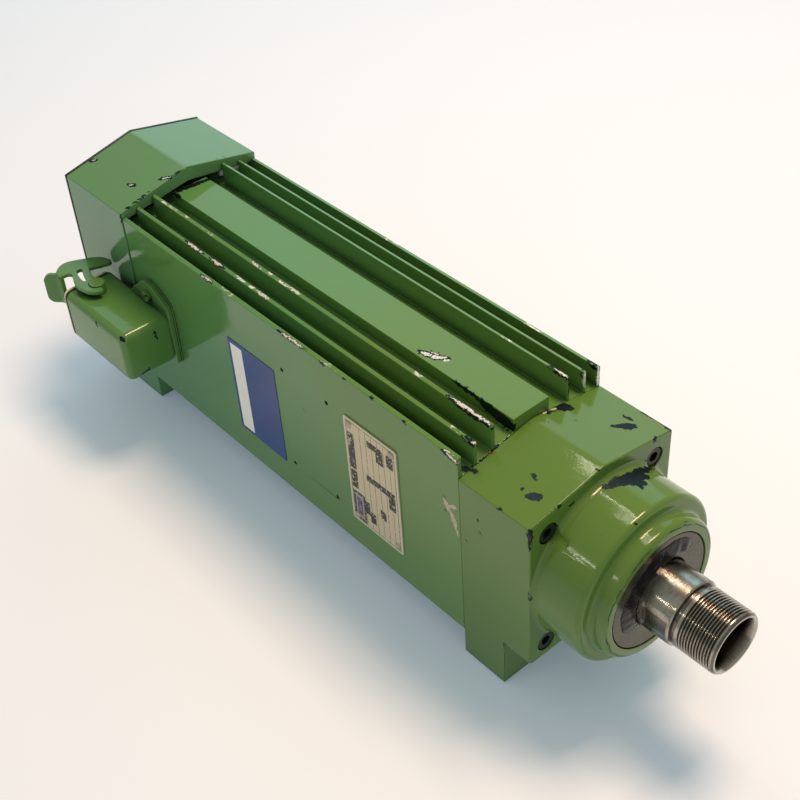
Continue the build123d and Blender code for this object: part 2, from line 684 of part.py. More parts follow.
# Pan head screws that hold the hood to the rear shield's blocks.
with BuildPart() as hood_screws:
    for x, side in hood_screw_places:
        with Locations(side_hole(x, side, hood_half)):
            Cylinder(small_screw_r + 1.4, 1.8, align=hole_align)
        with Locations(side_hole(x, side, hood_half - 9.7)):
            Cylinder(small_screw_r - slack, 9.7, align=hole_align)
save(hood_screws, "hood_screws")

# Connector housing: a cast box on a flange with two lugs. Its mouth faces the rear,
# and the motor leads come in through a window in the flange.
box_root = 1.2                 # box runs this far into its flange
flange_rear_x = hood_front_x + 0.4
box_size = (plug_depth + box_root, plug_z[1] - plug_z[0])
box_centre = (plug_mid_y + box_root / 2, plug_mid_z)
cavity_size = [side - 2 * plug_wall for side in box_size]
insert_screw_points = [(plug_mid_y + side * 9.0, plug_mid_z + side * 9.0) for side in (-1, 1)]
post_points = [(plug_mid_y + side * 10.4, plug_mid_z + side * 10.4) for side in (-1, 1)]
post_x = insert_front_x + 0.2


def flange_outline(sketch):
    """In the given open sketch, the flange with its lugs, screw holes and window."""
    upper = [(plug_front_x, 19.6), (lug_x + 4.5, 28.1), (lug_x - 4.5, 28.1), (flange_rear_x, 15.0)]
    points = upper + [(x, -z) for x, z in reversed(upper)]
    Polygon(*[(x, plug_mid_z + z) for x, z in points], align=None)
    fillet(sketch.vertices(), 4)
    with Locations((window_x, plug_mid_z)):
        Rectangle(window_side, window_side, mode=Mode.SUBTRACT)
    with Locations(*lug_points):
        Circle(small_screw_r + 0.1, mode=Mode.SUBTRACT)


with BuildPart() as connector_housing:
    with BuildSketch(cross_plane(plug_mouth_x)):
        with Locations(box_centre):
            RectangleRounded(*box_size, 4.5)
    extrude(amount=plug_length)
    fillet(connector_housing.faces().sort_by(Axis.X)[-1].edges(), 3.5)
    with BuildSketch(side_plane(-half_width - base_gasket)) as flange:
        flange_outline(flange)
    extrude(amount=flange_thick)
    with BuildSketch(cross_plane(plug_mouth_x)):
        with Locations(box_centre):
            RectangleRounded(*cavity_size, 2.5)
    extrude(amount=plug_length - plug_wall, mode=Mode.SUBTRACT)
    with BuildSketch(side_plane(-half_width)):
        with Locations((window_x, plug_mid_z)):
            Rectangle(window_side, window_side)
    extrude(amount=12, mode=Mode.SUBTRACT)
    with BuildSketch(cross_plane(post_x)):
        with Locations(*post_points):
            Circle(3.4)
    extrude(amount=18)
    with BuildSketch(cross_plane(post_x)):
        with Locations(*insert_screw_points):
            Circle(insert_screw_r)
    extrude(amount=9, mode=Mode.SUBTRACT)
    with BuildSketch(Plane(origin=(pivot_x, plug_mid_y, axis_z + plug_z[1]))):
        Circle(pivot_r / 2)
    extrude(amount=-plug_wall, mode=Mode.SUBTRACT)
save(connector_housing, "connector_housing")

with BuildPart() as base_seal:
    with BuildSketch(side_plane(-half_width)) as seal_outline:
        flange_outline(seal_outline)
    extrude(amount=base_gasket)
save(base_seal, "base_seal")

# Slotted pan head screws in the lugs.
lug_head = 2.4
with BuildPart() as connector_screws:
    with BuildSketch(side_plane(flange_face_y)):
        with Locations(*lug_points):
            Circle(small_screw_r + 1.4)
    extrude(amount=lug_head)
    with BuildSketch(side_plane(flange_face_y - lug_head)):
        with Locations(*lug_points):
            Rectangle(8, 0.9, rotation=35)
    extrude(amount=-1.2, mode=Mode.SUBTRACT)
    with BuildSketch(side_plane(flange_face_y)):
        with Locations(*lug_points):
            Circle(small_screw_r - slack)
    extrude(amount=-flange_thick - base_gasket - 5.3)
save(connector_screws, "connector_screws")

# Rubber seal on the connector's mouth.
with BuildPart() as mouth_seal:
    with BuildSketch(cross_plane(plug_mouth_x)):
        with Locations(box_centre):
            RectangleRounded(*box_size, 4.5)
            RectangleRounded(box_size[0] - 5.6, box_size[1] - 5.6, 2.5, mode=Mode.SUBTRACT)
    extrude(amount=-seal_thick)
save(mouth_seal, "mouth_seal")

# Insulating insert: a cup open to the rear whose floor carries the contact pins. Its
# collar holds the seal against the connector's mouth.
insert_centre = (plug_mid_y, plug_mid_z)
pin_tip_x = insert_rear_x + 5.0
pin_points = [(plug_mid_y + y, plug_mid_z + z) for y in (-3.6, 3.6) for z in (-6.5, 0, 6.5)]
earth_point = (plug_mid_y - 8.6, plug_mid_z)
earth_size = (1.0, 5.0)
with BuildPart() as contact_insert:
    with BuildSketch(cross_plane(insert_rear_x)):
        with Locations(insert_centre):
            RectangleRounded(2 * insert_half, 2 * insert_half, 3)
    extrude(amount=insert_front_x - insert_rear_x)
    with BuildSketch(cross_plane(insert_rear_x)):
        with Locations(box_centre):
            RectangleRounded(box_size[0] - 2 * collar_inset, box_size[1] - 2 * collar_inset, 4)
    extrude(amount=plug_mouth_x - seal_thick - insert_rear_x)
    with BuildSketch(cross_plane(insert_rear_x)):
        with Locations(insert_centre):
            RectangleRounded(2 * (insert_half - insert_wall), 2 * (insert_half - insert_wall), 2)
    extrude(amount=cup_depth, mode=Mode.SUBTRACT)
    with BuildSketch(cross_plane(insert_floor_x)):
        with Locations(*pin_points):
            Circle(pin_r + slack)
        with Locations(earth_point):
            Rectangle(earth_size[0] + 2 * slack, earth_size[1] + 2 * slack)
        with Locations(*insert_screw_points):
            Circle(insert_screw_r + 0.15)
    extrude(amount=insert_front_x - insert_floor_x, mode=Mode.SUBTRACT)
save(contact_insert, "contact_insert")

with BuildPart() as contact_pins:
    with BuildSketch(cross_plane(pin_tip_x)):
        with Locations(*pin_points):
            Circle(pin_r)
    extrude(amount=pin_length)
    chamfer(contact_pins.faces().filter_by(Axis.X).group_by(Axis.X)[0].edges(), 0.5)
save(contact_pins, "contact_pins")

with BuildPart() as earth_contact:
    with BuildSketch(cross_plane(pin_tip_x - 1)):
        with Locations(earth_point):
            Rectangle(*earth_size)
    extrude(amount=pin_length + 1)
save(earth_contact, "earth_contact")

with BuildPart() as insert_screws:
    with BuildSketch(cross_plane(insert_floor_x)):
        with Locations(*insert_screw_points):
            Circle(insert_screw_r + 0.9)
    extrude(amount=-1.2)
    with BuildSketch(cross_plane(insert_floor_x)):
        with Locations(*insert_screw_points):
            Circle(insert_screw_r - slack)
    extrude(amount=10)
save(insert_screws, "insert_screws")

# Locking lever: a hooked plate over the connector with a thumb tab bent down in front of
# the mouth and flared outwards. Points count from the pivot.
lever_outline = [
    (-11.4, 17.4), (-17.5, 6.0), (-12.9, 3.6), (-4.0, 2.9), (0, 0), (0, -8.6), (-8.1, -9.6),
    (-13.4, -8.5), (-18.3, -6.5), (-20.4, -7.4), (-20.7, -12.3), (-26.2, -12.3), (-29.4, -8.6),
    (-31.9, -3.6), (-30.4, 0.6), (-27.6, 6.6), (-24.4, 13.0), (-20.5, 17.0), (-14.6, 18.6)]
hook_gap = [(0, 0), (11, 1.8), (12, 14), (-6, 12), (-4.0, 2.9)]
slot_line = [(-18.9, 0.6), (-13.0, -2.3), (-6.6, -2.9)]
hub_r = pivot_r + 4.0
lever_top = plug_z[1] + lever_rise + lever_sheet
strip_x = (pivot_x - 26.2, pivot_x - 20.7)
strip_y = (plug_mid_y - 12.3, plug_mid_y - 12.3 + lever_sheet)
tab_root = (strip_x[0] + 0.6, plug_mid_y - 11.2, axis_z + lever_top - lever_drop / 2)
tab_length = 9.4
with BuildPart() as locking_lever:
    with BuildSketch(Plane(origin=(pivot_x, plug_mid_y, axis_z + lever_top - lever_sheet))) as hooked_plate:
        Polygon(*lever_outline, align=None)
        fillet(hooked_plate.vertices().filter_by_position(Axis.X, -32, -11), 1.2)
        Circle(hub_r)
        Polygon(*hook_gap, align=None, mode=Mode.SUBTRACT)
        Circle(pivot_r + 0.25, mode=Mode.SUBTRACT)
        SlotArc(ThreePointArc(*slot_line).edge(), 2.8, mode=Mode.SUBTRACT)
    extrude(amount=lever_sheet)
    span_box(strip_x, strip_y, (lever_top - lever_drop, lever_top))
    with BuildSketch(Plane(origin=tab_root, x_dir=(-1, -1, 0), z_dir=(-1, 1, 0))) as thumb_tab:
        with Locations((tab_length / 2, 0)):
            Rectangle(tab_length, lever_drop)
        fillet(thumb_tab.vertices().sort_by(Axis.X)[-2:], 4.5)
    extrude(amount=lever_sheet / 2, both=True)
save(locking_lever, "locking_lever")

# The stud that the lever turns on, pressed into the connector's upper wall. Its head is
# cut off flat on the side of the lever's hook.
with BuildPart() as lever_pivots:
    with BuildSketch(Plane(origin=(pivot_x, plug_mid_y, axis_z + plug_z[1]))):
        Circle(pivot_r)
        with Locations((-pivot_r - 1.6, 0)):
            Rectangle(5, 12, mode=Mode.SUBTRACT)
    extrude(amount=lever_rise + lever_sheet + 0.7)
    with BuildSketch(Plane(origin=(pivot_x, plug_mid_y, axis_z + plug_z[1]))):
        Circle(pivot_r / 2 - slack)
    extrude(amount=-plug_wall)
save(lever_pivots, "lever_pivots")

# Leads from the rear winding head through the window to the contacts.
lead_start = (pack_rear_x - head_length - 0.1, -sum(head_r) / 2 + 0.6, axis_z + plug_mid_z)
lead_end_x = pin_tip_x + pin_length + 0.1
with BuildPart() as motor_leads:
    with BuildLine():
        FilletPolyline(lead_start, (window_x, lead_start[1], lead_start[2]),
                       (window_x, plug_mid_y, lead_start[2]), (lead_end_x, plug_mid_y, lead_start[2]),
                       radius=8)
    with BuildSketch(Plane(origin=lead_start, z_dir=(-1, 0, 0))):
        Circle(lead_r)
    sweep()
save(motor_leads, "motor_leads")

# Bare rating plate with its four rivets, and the printed label beside it.
nameplate_size = (nameplate_x[1] - nameplate_x[0], nameplate_z[1] - nameplate_z[0])
label_size = (label_x[1] - label_x[0], label_z[1] - label_z[0])
with BuildPart() as rating_plate:
    with BuildSketch(side_plane(-half_width)):
        with Locations((sum(nameplate_x) / 2, sum(nameplate_z) / 2)):
            RectangleRounded(*nameplate_size, 1.5)
        with Locations(*plate_points):
            Circle(rivet_r + slack, mode=Mode.SUBTRACT)
    extrude(amount=nameplate_thick)
save(rating_plate, "rating_plate")

with BuildPart() as plate_rivets:
    with BuildSketch(side_plane(-half_width - nameplate_thick)):
        with Locations(*plate_points):
            Circle(rivet_r + 1)
    extrude(amount=0.9)
    chamfer(plate_rivets.faces().filter_by(Axis.Y).group_by(Axis.Y)[0].edges(), 0.5)
    with BuildSketch(side_plane(-half_width - nameplate_thick)):
        with Locations(*plate_points):
            Circle(rivet_r)
    extrude(amount=-nameplate_thick - 3.7)
save(plate_rivets, "plate_rivets")

with BuildPart() as side_label:
    with BuildSketch(side_plane(-half_width)):
        with Locations((sum(label_x) / 2, sum(label_z) / 2)):
            RectangleRounded(*label_size, 1.0)
    extrude(amount=label_thick)
save(side_label, "side_label")
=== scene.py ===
import bmesh
import bpy
import json
from math import cos, radians, sin
from mathutils import Matrix, Quaternion, Vector, noise

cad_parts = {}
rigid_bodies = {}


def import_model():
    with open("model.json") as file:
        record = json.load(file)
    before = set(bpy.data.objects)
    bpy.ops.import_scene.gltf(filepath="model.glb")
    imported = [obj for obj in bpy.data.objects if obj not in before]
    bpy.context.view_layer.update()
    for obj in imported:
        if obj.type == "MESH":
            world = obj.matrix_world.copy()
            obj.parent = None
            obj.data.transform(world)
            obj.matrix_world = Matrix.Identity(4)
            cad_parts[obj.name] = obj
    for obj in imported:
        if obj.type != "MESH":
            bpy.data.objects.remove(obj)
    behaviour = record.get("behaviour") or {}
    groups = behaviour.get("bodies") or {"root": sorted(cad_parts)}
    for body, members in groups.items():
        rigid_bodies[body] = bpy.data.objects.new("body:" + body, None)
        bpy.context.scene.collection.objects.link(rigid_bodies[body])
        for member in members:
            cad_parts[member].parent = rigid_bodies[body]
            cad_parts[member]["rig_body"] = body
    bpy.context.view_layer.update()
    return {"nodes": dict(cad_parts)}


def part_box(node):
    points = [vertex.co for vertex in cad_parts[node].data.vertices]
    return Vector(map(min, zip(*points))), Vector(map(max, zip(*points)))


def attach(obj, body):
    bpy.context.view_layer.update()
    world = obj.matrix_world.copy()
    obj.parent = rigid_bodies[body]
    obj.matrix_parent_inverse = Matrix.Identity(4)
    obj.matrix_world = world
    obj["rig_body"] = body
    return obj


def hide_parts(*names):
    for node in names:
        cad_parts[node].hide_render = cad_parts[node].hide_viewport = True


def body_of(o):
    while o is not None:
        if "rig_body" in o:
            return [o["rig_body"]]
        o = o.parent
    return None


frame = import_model()
mm = 0.001

# The photograph's camera, fitted to the straight edges of the body and the circles of the nose.
# It looks down on the nose end from the front left, a little turned about its own line of sight.
eye = Vector((0.4688, -0.3350, 0.5423))
aim = Vector((0.0376, 0.0035, 0.0740))
camera_roll = radians(-4.4)
camera = bpy.data.objects.new("camera", bpy.data.cameras.new("camera"))
camera.data.lens = 61.55
camera.data.sensor_width = 36.0
camera.location = eye
camera.rotation_mode = "QUATERNION"
camera.rotation_quaternion = (aim - eye).to_track_quat("-Z", "Y") @ Quaternion((0, 0, 1), camera_roll)
bpy.context.scene.collection.objects.link(camera)
bpy.context.scene.camera = camera


# Studio: a pale floor that runs out of view, a warm soft lamp overhead and a large cool window
# behind the object on its far side. Three small lamps draw the fine glints on the boss and neck.
def area_light(name, place, target, size, power, tint):
    """A rectangular soft light at place, turned to target."""
    lamp = bpy.data.lights.new(name, "AREA")
    lamp.shape = "RECTANGLE"
    lamp.size, lamp.size_y = size
    lamp.energy = power
    lamp.color = tint
    light = bpy.data.objects.new(name, lamp)
    light.location = place
    light.rotation_mode = "QUATERNION"
    light.rotation_quaternion = (Vector(target) - Vector(place)).to_track_quat("-Z", "Y")
    bpy.context.scene.collection.objects.link(light)
    return light


def glint_lamp(name, spot, way, distance, size, power, tint):
    """A small lamp off a spot on the object, given in mm, with its long side along the shaft."""
    way = Vector(way).normalized()
    spot = Vector(spot) * mm
    light = area_light(name, spot + way * distance, spot, size, power, tint)
    along = (Vector((1, 0, 0)) - way * way.x).normalized()
    light.rotation_quaternion = Matrix((along, way.cross(along), way)).transposed().to_quaternion()
    light.visible_camera = False


area_light("overhead", (0.12, 0.42, 1.42), (0, 0, 0.05), (0.46, 0.46), 16.4, (1.0, 0.67, 0.46))
area_light("window", (-0.98, 1.02, 0.84), (0, 0, 0.06), (1.5, 1.0), 4.6, (0.48, 0.81, 1.0))
glint_lamp("upper_strip", (214, -6.7, 117.7), (-0.430, 0.314, 0.848), 0.30, (0.081, 0.003), 0.030,
           (1, 0.95, 0.75))
glint_lamp("lower_strip", (214, -31.6, 104.9), (-0.432, -0.751, 0.499), 0.30, (0.081, 0.003), 0.030,
           (1, 0.95, 0.80))
glint_lamp("neck_box", (238, -3.7, 90.0), (-0.381, 0.165, 0.910), 0.35, (0.030, 0.07), 0.034,
           (1, 0.94, 0.80))

surround = bpy.data.worlds.new("pale_surround")
surround.use_nodes = True
surround.node_tree.nodes["Background"].inputs["Color"].default_value = (0.98, 1.0, 0.90, 1)
surround.node_tree.nodes["Background"].inputs["Strength"].default_value = 0.42
bpy.context.scene.world = surround
bpy.context.scene.view_settings.view_transform = "Standard"

floor_half = 6.0
floor_z = -0.4 * mm
floor_mesh = bpy.data.meshes.new("floor")
floor_corners = [(x * floor_half, y * floor_half, floor_z) for x, y in ((-1, -1), (1, -1), (1, 1), (-1, 1))]
floor_mesh.from_pydata(floor_corners, [], [(0, 1, 2, 3)])
floor = bpy.data.objects.new("floor", floor_mesh)
bpy.context.scene.collection.objects.link(floor)
floor_look = bpy.data.materials.new("pale_floor")
floor_look.use_nodes = True
floor_shader = floor_look.node_tree.nodes["Principled BSDF"]
floor_shader.inputs["Base Color"].default_value = (0.80, 0.86, 0.92, 1)
floor_shader.inputs["Roughness"].default_value = 0.75
floor_shader.inputs["Emission Color"].default_value = (0.42, 0.56, 0.80, 1)
floor_shader.inputs["Emission Strength"].default_value = 0.19
floor_mesh.materials.append(floor_look)


# Finned housing: an extruded aluminium tube with thin fins above and below, sprayed with
# thick glossy green enamel that has chipped off along the fins' tops.
class Finish:
    """A material in the making: each call adds a node and returns its output socket."""

    def __init__(self, name, settings=None):
        self.material = bpy.data.materials.new(name)
        self.material.use_nodes = True
        self.nodes = self.material.node_tree.nodes
        self.links = self.material.node_tree.links
        self.shader = self.nodes["Principled BSDF"]
        for socket, value in (settings or {}).items():
            self.shader.inputs[socket].default_value = value
        self.place = self.add("TexCoord").outputs["Object"]

    def add(self, kind, inputs=None, **choices):
        """Adds a shader node and fills its inputs with numbers, vectors or other sockets."""
        made = self.nodes.new("ShaderNode" + kind)
        for choice, value in choices.items():
            setattr(made, choice, value)
        for socket, value in (inputs or {}).items():
            if isinstance(value, bpy.types.NodeSocket):
                self.links.new(value, made.inputs[socket])
            else:
                made.inputs[socket].default_value = value
        return made

    def math(self, operation, *values):
        return self.add("Math", dict(enumerate(values)), operation=operation).outputs[0]

    def axes(self, vector=None):
        return self.add("SeparateXYZ", {0: vector or self.place}).outputs

    def stretched(self, scale, shift=(0, 0, 0)):
        """Object coordinates, longer or shorter along each axis."""
        return self.add("Mapping", {"Vector": self.place, "Scale": scale, "Location": shift}).outputs[0]

    def grain(self, scale, detail=3.0, vector=None, rough=0.55):
        settings = {"Vector": vector or self.place, "Scale": scale, "Detail": detail, "Roughness": rough}
        return self.add("TexNoise", settings).outputs[0]

    def band(self, value, low, high):
        """0 under low, 1 over high, smooth between; low may be the larger."""
        settings = {"Value": value, "From Min": low, "From Max": high}
        return self.add("MapRange", settings, interpolation_type="SMOOTHSTEP").outputs[0]

    def blend(self, share, first, second):
        """A colour between two others, each a tuple or another node's colour."""
        settings = {0: share}
        for socket, colour in ((6, first), (7, second)):
            settings[socket] = (*colour, 1) if isinstance(colour, tuple) else colour
        return self.add("Mix", settings, data_type="RGBA").outputs[2]

    def value_blend(self, share, first, second):
        """A value between two others, each a number or another node's value."""
        return self.add("Mix", {0: share, 2: first, 3: second}, data_type="FLOAT").outputs[0]

    def off_axis(self, height):
        """The distance from a line along x at this height, such as the shaft's axis."""
        x, y, z = self.axes()
        above = self.math("SUBTRACT", z, height)
        return self.math("SQRT", self.math("ADD", self.math("POWER", y, 2), self.math("POWER", above, 2)))

    def relief(self, height, depth, under=None):
        """A bump of this depth in metres, over another one."""
        settings = {"Height": height, "Distance": depth, "Strength": 1.0}
        if under:
            settings["Normal"] = under
        return self.add("Bump", settings).outputs[0]

    def chips(self, marks):
        """1 inside any of these marks: each is a stretch between two points in mm, with a half width.
        The place is shaken by a fine noise first, which tears their outlines."""
        shake = 4.6 * mm
        noisy = {"Vector": self.place, "Scale": 430, "Detail": 5.0, "Roughness": 0.62}
        centred = {0: self.add("TexNoise", noisy).outputs["Color"], 1: (shake,) * 3, 2: (-shake / 2,) * 3}
        shaken = self.add("VectorMath", centred, operation="MULTIPLY_ADD").outputs[0]
        torn = self.add("VectorMath", {0: self.place, 1: shaken}, operation="ADD").outputs[0]
        nearest = None
        for start, end, half in marks:
            start, end = Vector(start) * mm, Vector(end) * mm
            along = end - start
            turn = along.to_track_quat("X", "Z") if along.length > 0 else Quaternion()
            settings = {"Vector": torn, "Location": (start + end) / 2, "Rotation": turn.to_euler(),
                        "Scale": (along.length / 2 + half * mm, half * mm, half * mm)}
            local = self.add("Mapping", settings, vector_type="TEXTURE").outputs[0]
            reach = self.add("VectorMath", {0: local}, operation="LENGTH").outputs["Value"]
            nearest = self.math("MINIMUM", nearest, reach) if nearest else reach
        return self.band(nearest, 1.05, 0.97)

    def patch(self, across, down, u, v):
        """1 inside a rectangle of a printed surface."""
        inside = [self.math("COMPARE", value, sum(span) / 2, (span[1] - span[0]) / 2)
                  for value, span in ((across, u), (down, v))]
        return self.math("MULTIPLY", *inside)

    def wear(self, socket, value):
        """Lets a pattern drive one of the finish's own inputs."""
        self.links.new(value, self.shader.inputs[socket])


green = (0.092, 0.246, 0.074)
# The green as painted under the warmer light that falls on the front.
green_warm_lit = (0.110, 0.228, 0.046)
# The dark green of dirt and of painted shade in corners.
grime_and_shade = (0.010, 0.030, 0.012)
speck = (0.02, 0.03, 0.015)
# What shows where the enamel is gone: its colour, how metallic it is and its roughness. The dark undercoat
# kind also serves for painted shadow.
chip_kinds = {
    "primer_and_shadow": ((0.024, 0.040, 0.050), 1.0, 0.50),
    "metal": ((0.86, 0.84, 0.78), 0.35, 0.42),
    "filler": ((0.62, 0.55, 0.40), 0.0, 0.60),
    "rust": ((0.16, 0.040, 0.028), 0.1, 0.60)}


def enamel(name, marks=None, bare=None, greens=(green, green_warm_lit)):
    """Thick glossy green enamel: orange peel, yellower to the front as painted warm light, dirt and
    painted shade darkening its corners, and chips down to what lies under it.
    Marks are lists of chips by kind, a few of them painted shadow; bare adds masks by kind.
    Only the widest chips get an edge in the relief, because a copy of them all is too much to shade."""
    paint = Finish(name, {"IOR": 1.45})
    # Painted warm light: the green turns yellower towards the front, where the light falls warmer, and a
    # broad noise breaks it up.
    lit_warmer_to_front = paint.band(paint.math("MULTIPLY_ADD", paint.axes()[0], 1.5, paint.grain(9, 3)), 0.26, 0.74)
    tone = paint.blend(lit_warmer_to_front, *greens)
    # Dirt and painted shade: ambient occlusion darkens the green in corners and recesses, and a noise adds
    # the dirt.
    corners = paint.add("AmbientOcclusion", {"Distance": 0.009}, samples=6, only_local=False).outputs["AO"]
    soiled_and_shaded = paint.band(paint.math("MULTIPLY_ADD", paint.grain(160, 5), 0.30, corners), 0.80, 0.36)
    tone = paint.blend(paint.math("MULTIPLY", soiled_and_shaded, 0.85), tone, grime_and_shade)
    specks = paint.band(paint.grain(900, 2), 0.745, 0.79)
    tone = paint.blend(paint.math("MULTIPLY", specks, 0.8), tone, speck)
    smears = paint.band(paint.grain(55, 4, paint.stretched((1, 3, 0.6))), 0.40, 0.72)
    rough = paint.value_blend(smears, 0.09, 0.16)
    metal = 0.0
    film = paint.math("MULTIPLY_ADD", paint.grain(420, 2), 0.35, paint.grain(110, 2))
    film = paint.math("MULTIPLY_ADD", paint.grain(1100, 1), 0.16, film)
    surface = paint.relief(film, 0.07 * mm)
    layers = []
    for kind, stretches in (marks or {}).items():
        colour, metallic, dull = chip_kinds[kind]
        shade = paint.band(paint.grain(1400, 4), 0.35, 0.65)
        shaded = paint.blend(shade, tuple(0.6 * part for part in colour), colour)
        layers.append((paint.chips(stretches), shaded, metallic, dull))
    for kind, worn in (bare or {}).items():
        layers.append((worn(paint), *chip_kinds[kind]))
    for mask, colour, metallic, dull in layers:
        tone = paint.blend(mask, tone, colour)
        rough = paint.value_blend(mask, rough, dull)
        metal = paint.value_blend(mask, metal, metallic)
    if marks:
        widest = sorted(sum(marks.values(), []), key=lambda mark: mark[2])[-9:]
        kept = paint.math("SUBTRACT", 1.0, paint.chips(widest))
        surface = paint.relief(kept, 0.25 * mm, surface)
    if layers:
        paint.wear("Metallic", metal)
    paint.wear("Base Color", tone)
    paint.wear("Roughness", rough)
    paint.wear("Normal", surface)
    return paint.material


crease = radians(38)


def dressed(node_name, look, edge=0.0, segments=2, stays_sharp=None):
    """A finished copy of a CAD node: its triangles merged into faces and its sharp edges rounded.
    stays_sharp picks edges that aren't rounded, by their middle in mm."""
    node = frame["nodes"][node_name]
    form = bmesh.new()
    form.from_mesh(node.data)
    bmesh.ops.remove_doubles(form, verts=form.verts, dist=0.002 * mm)
    bmesh.ops.dissolve_limit(form, angle_limit=radians(0.4), verts=form.verts, edges=form.edges)
    form.verts.index_update()
    mesh = bpy.data.meshes.new(node_name + "_finished")
    mesh.from_pydata([corner.co for corner in form.verts], [],
                     [[corner.index for corner in face.verts] for face in form.faces])
    form.free()
    mesh.polygons.foreach_set("use_smooth", [True] * len(mesh.polygons))
    mesh.set_sharp_from_angle(angle=crease)
    mesh.materials.append(look)
    piece = bpy.data.objects.new(node_name + "_finished", mesh)
    bpy.context.scene.collection.objects.link(piece)
    if edge:
        form = bmesh.new()
        form.from_mesh(mesh)
        rounded = form.edges.layers.float.new("bevel_weight_edge")
        for line in form.edges:
            middle = (line.verts[0].co + line.verts[1].co) / 2 / mm
            spared = stays_sharp is not None and stays_sharp(middle)
            line[rounded] = float(line.calc_face_angle(0) > crease and not spared)
        form.to_mesh(mesh)
        form.free()
        rounding = piece.modifiers.new("rounded_edges", "BEVEL")
        rounding.width = edge
        rounding.segments = segments
        rounding.limit_method = "WEIGHT"
        rounding.use_clamp_overlap = False
        rounding.harden_normals = True
    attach(piece, body_of(node)[0])
    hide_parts(node_name)
    return piece


def plain(node_name, look):
    """A CAD node whose shape stays as it is, with its own material."""
    mesh = frame["nodes"][node_name].data
    mesh.materials.clear()
    mesh.materials.append(look)


def worn_fin_tops(paint):
    """Bare aluminium in short runs along the fins' upper edges."""
    pad_side = 19.5 * mm
    fins_middle = 120 * mm
    x, y, z = paint.axes()
    facing = paint.axes(paint.add("NewGeometry").outputs["Normal"])[2]
    upward = paint.band(facing, 0.80, 0.90)
    on_fins = paint.band(paint.math("ABSOLUTE", y), pad_side, pad_side + 1 * mm)
    runs = paint.band(paint.grain(38, 2, paint.stretched((1, 0.6, 0.6), (3.1, 0, 0))), 0.60, 0.65)
    flakes = paint.band(paint.grain(420, 4, paint.stretched((0.45, 1, 1)), 0.7), 0.52, 0.57)
    tops = paint.math("MULTIPLY", upward, on_fins)
    mask = paint.math("MULTIPLY", tops, paint.math("MULTIPLY", runs, flakes))
    return paint.math("MULTIPLY", mask, paint.band(z, fins_middle, fins_middle + 5 * mm))


housing_marks = {
    "primer_and_shadow": [
        ((72, -8.6, 132.6), (77, -7.2, 132.6), 2.0), ((78, -7.4, 132.6), (84.5, -3.2, 132.6), 2.0),
        ((76, -4.8, 132.6), (79, -4.0, 132.6), 1.3), ((98, -11.8, 131.8), (122, -11.8, 131.0), 1.4),
        # The two marks at x = -137 are painted shadow: the pad goes black in the dark opening at the hood's
        # front lip.
        ((118, -12.4, 129.8), (140, -13.0, 127.6), 3.6), ((-137, -12, 132.4), (-132, -11.5, 132.4), 1.8),
        ((-137, -10, 132.6), (-134.6, 11, 132.6), 1.9), ((108, -24, 136.2), (139, -24, 135.6), 1.7),
        ((131, -35.2, 132.6), (138, -35.2, 132.6), 1.6), ((-90, -35.2, 133.4), (-72, -35.2, 133.4), 1.2),
        ((-67, -35.2, 133.4), (-54, -35.2, 133.4), 1.2), ((-61, -45.6, 130.6), (-51, -45.6, 130.6), 1.1),
        ((6, -45.6, 130.4), (28, -45.6, 130.4), 1.1), ((41, -46, 130.0), (43.5, -46, 129.6), 1.1),
        ((58, -46, 130.2), (59.4, -46, 130), 0.8), ((78, -46, 130.2), (79.6, -46, 130), 0.8),
        ((101, -46, 130.2), (103, -46, 130), 0.8), ((134.0, -41.5, 119.4), (137.4, -39.6, 119.7), 1.6),
        ((128, -46, 129.6), (138, -46, 128.0), 1.5), ((126, 24, 136.4), (137.8, 24, 136.2), 1.5),
        ((138, 24.6, 136), (138, 24.6, 126), 0.7), ((136, 35.2, 133), (138, 35.2, 130), 1.3),
        ((132, 44.8, 130.6), (138, 44.8, 129), 1.6), ((127.9, -46, 101.0), (128.4, -46, 99.6), 0.9),
        ((128.2, -46, 92.6), (129.0, -46, 91.8), 0.7), ((137.8, -43, 118.6), (137.8, -14, 123.9), 0.7),
        ((20.7, -46, 88.0), (21.2, -46, 86.4), 0.5)],
    "metal": [
        ((73, -8.6, 132.6), (76.2, -7.4, 132.6), 1.2), ((79, -6.8, 132.6), (83.2, -3.6, 132.6), 1.1),
        ((76.6, -4.7, 132.6), (78.6, -4.1, 132.6), 0.8), ((84.6, -5.4, 132.6), (85.6, -3.6, 132.6), 0.8),
        ((110.4, -24, 136.5), (136.6, -24, 136.3), 0.9), ((136.6, -35.2, 133.4), (138, -35.2, 133.0), 0.8),
        ((-87.4, -35.2, 133.5), (-74.4, -35.2, 133.5), 0.8),
        ((-66.3, -35.2, 133.5), (-55.9, -35.2, 133.5), 0.8),
        ((-37.6, -35.2, 133.5), (-36, -35.2, 133.5), 0.7),
        ((-24.5, -35.2, 133.5), (-15, -35.2, 133.5), 0.8),
        ((-60.3, -45.5, 130.7), (-52.3, -45.5, 130.7), 0.7),
        ((9.7, -45.6, 130.6), (25.8, -45.6, 130.6), 0.8), ((-43.5, -24, 136.7), (-37.8, -24, 136.7), 0.8),
        ((-12.6, -24, 136.7), (-2.7, -24, 136.7), 0.8), ((129.8, -45.6, 130.2), (138, -45.6, 128.4), 0.9),
        ((129.5, 24, 136.7), (137, 24, 136.7), 0.8), ((138, 35.2, 133), (138, 35.2, 124), 0.9),
        ((138, 44.8, 130), (138, 44.8, 120), 1.2)],
    "filler": [
        ((127.8, -46, 98.8), (130.0, -46, 93.8), 1.5), ((129.4, -46, 95.6), (135.0, -46, 99.0), 1.2),
        ((131.6, -46, 94.0), (134.8, -46, 86.5), 1.7), ((134.4, -46, 87.5), (135.9, -46, 81.5), 0.8)]}
dressed("stator_housing", enamel("green_enamel_housing", housing_marks, {"metal": worn_fin_tops}), 0.35 * mm)


